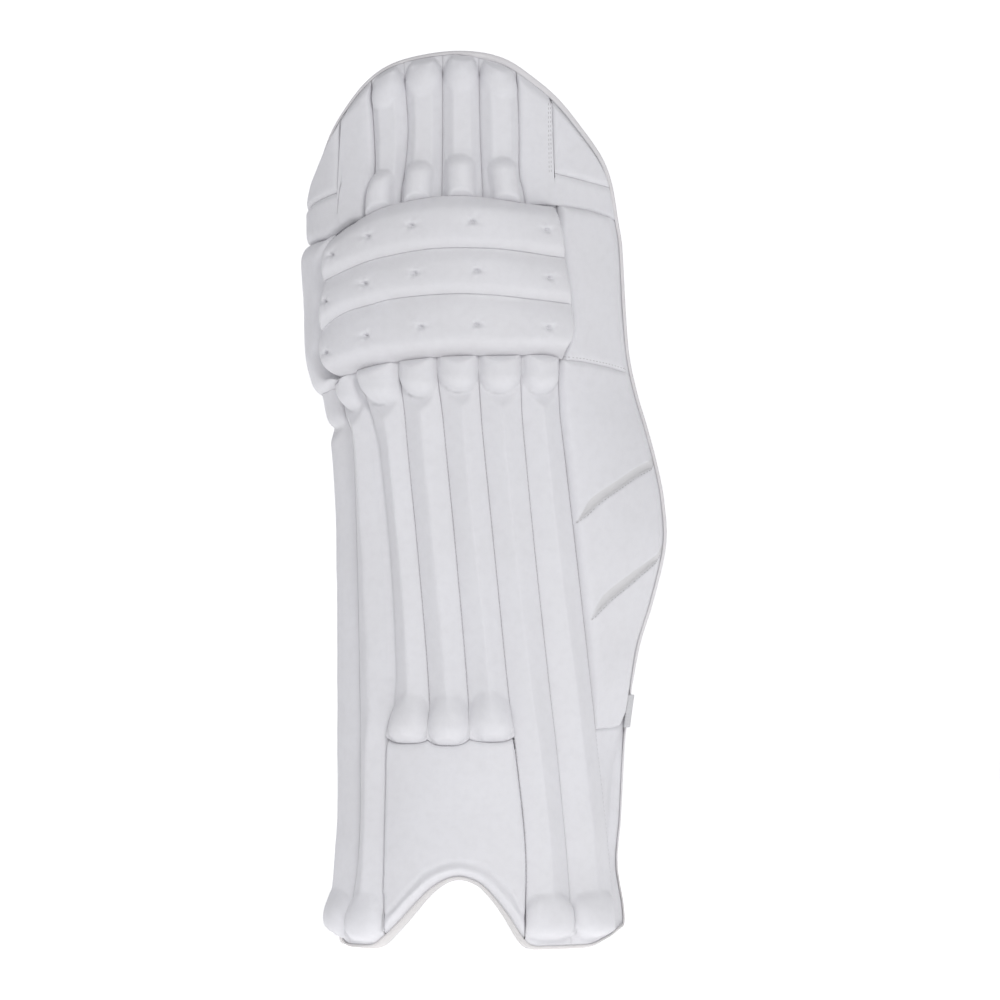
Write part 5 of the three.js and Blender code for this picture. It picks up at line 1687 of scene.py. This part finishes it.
seam_lines = []
for index in range(7):
    if index != 1:
        high_foot = 2 <= index <= 3
        levels = np.linspace(0.275 if high_foot else 0.07, 0.585 if index == 0 else 0.6, 120)
        turns = shin_seam(index)(levels)
        seam_lines.append((placed(turns, levels, SEAM_STITCH_RISE), body_at(turns, levels)[1]))
sew("cane_stitches", seam_lines)

seam_turns = np.linspace(float(shin_seam(6)(0.65)) + 0.03, 0.93, 50)
sew("knee_wing_stitches", [surface_line("knee_wing", seam_turns, wing_seam(seam_turns) + 2.4 / PAD_HEIGHT)])

point, outward, inward = rim_frames(rim)
back_row = point + inward * BACK_ROW_INSET - outward * BACK_ROW_DEPTH
sew("binding_stitches", [(back_row[::-1], -outward[::-1])], pitch=BINDING_PITCH)

# %% [markdown]
# ## Floor
# A plain pale sheet lies under the pad and curves up behind it, as a studio backdrop does.
# It is a plane whose back edge is extruded upwards, with the fold bevelled to a wide curve.
# White paper in full light is brighter than the pad, so it glows a little, as painted light.
# It is painted greyer in front of the pad and far out to the sides, as painted shade, or it
# would wash the pad out there.

# %% Lay the floor
FLOOR_HALF = 10.0
FLOOR_DROP = 0.0005
WALL_HEIGHT = 4
WALL_CURVE = 2.0
PAPER_FRONT = (-1.7, -0.85)
PAPER_SIDES = (2.5, 8)
SIDE_SHARE = 0.45
PAPER_GLOW = 0.57


def select_edges(chosen):
    """Selects the floor's edges of which all ends are chosen, and goes to edit mode."""
    for edge in floor.data.edges:
        edge.select = all(chosen(floor.data.vertices[v].co) for v in edge.vertices)
    bpy.ops.object.mode_set(mode="EDIT")


bpy.ops.object.select_all(action="DESELECT")
bpy.ops.mesh.primitive_plane_add(size=2 * FLOOR_HALF, location=(0, 0, -FLOOR_DROP))
floor = bpy.context.object
floor.name = "studio_floor"
bpy.ops.object.mode_set(mode="EDIT")
bpy.ops.mesh.select_all(action="DESELECT")
bpy.ops.object.mode_set(mode="OBJECT")
select_edges(lambda end: end.y > 0)
bpy.ops.mesh.select_mode(type="EDGE")
bpy.ops.mesh.extrude_region_move(TRANSFORM_OT_translate={"value": (0, 0, WALL_HEIGHT)})
bpy.ops.object.mode_set(mode="OBJECT")
select_edges(lambda end: end.y > 0 and end.z < 1)
bpy.ops.mesh.bevel(offset=WALL_CURVE, segments=24, affect="EDGES")
bpy.ops.object.mode_set(mode="OBJECT")
bpy.ops.object.transform_apply(location=True, rotation=False, scale=False)
floor.data.shade_smooth()

paper, paper_tree, paper_bsdf = new_finish("studio_paper")
paper_coords = object_place(paper_tree)
paper_parts = add_node(paper_tree, "ShaderNodeSeparateXYZ", Vector=paper_coords).outputs
# painted light: the paper glows and shows white near the pad; away from it, painted shade greys it
towards_pad = ranged(paper_tree, paper_parts["Y"], *PAPER_FRONT, 0, 1)
sideways = combined(paper_tree, "ABSOLUTE", paper_parts["X"])
inwards = ranged(paper_tree, sideways, *PAPER_SIDES, 1, SIDE_SHARE)
lit = combined(paper_tree, "MULTIPLY", towards_pad, inwards)
uneven = noise_of(paper_tree, paper_coords, 2, 2)
white = mix_colours(paper_tree, uneven, (0.93, 0.93, 0.94), (0.91, 0.91, 0.92))
feed_all(paper_tree, paper_bsdf, {
    "Base Color": mix_colours(paper_tree, lit, (0.6, 0.6, 0.61), white), "Roughness": 0.9,
    "Emission Color": (1, 1, 1), "Emission Strength": combined(paper_tree, "MULTIPLY", lit, PAPER_GLOW),
})
floor.data.materials.append(paper)
floor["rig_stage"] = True

# %% [markdown]
# ## Measuring
# At the end the triangles of the pieces are counted, so that a piece that has grown too fine
# is noticed.

# %% Measure and finish
def shown(piece):
    return piece.type == "MESH" and not piece.get("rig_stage") and not piece.hide_render


triangles = {piece.name: sum(len(face.vertices) - 2 for face in piece.data.polygons)
             for piece in bpy.context.scene.objects if shown(piece)}
largest = max(triangles, key=triangles.get)
print("triangles:", sum(triangles.values()), "most:", largest, triangles[largest])
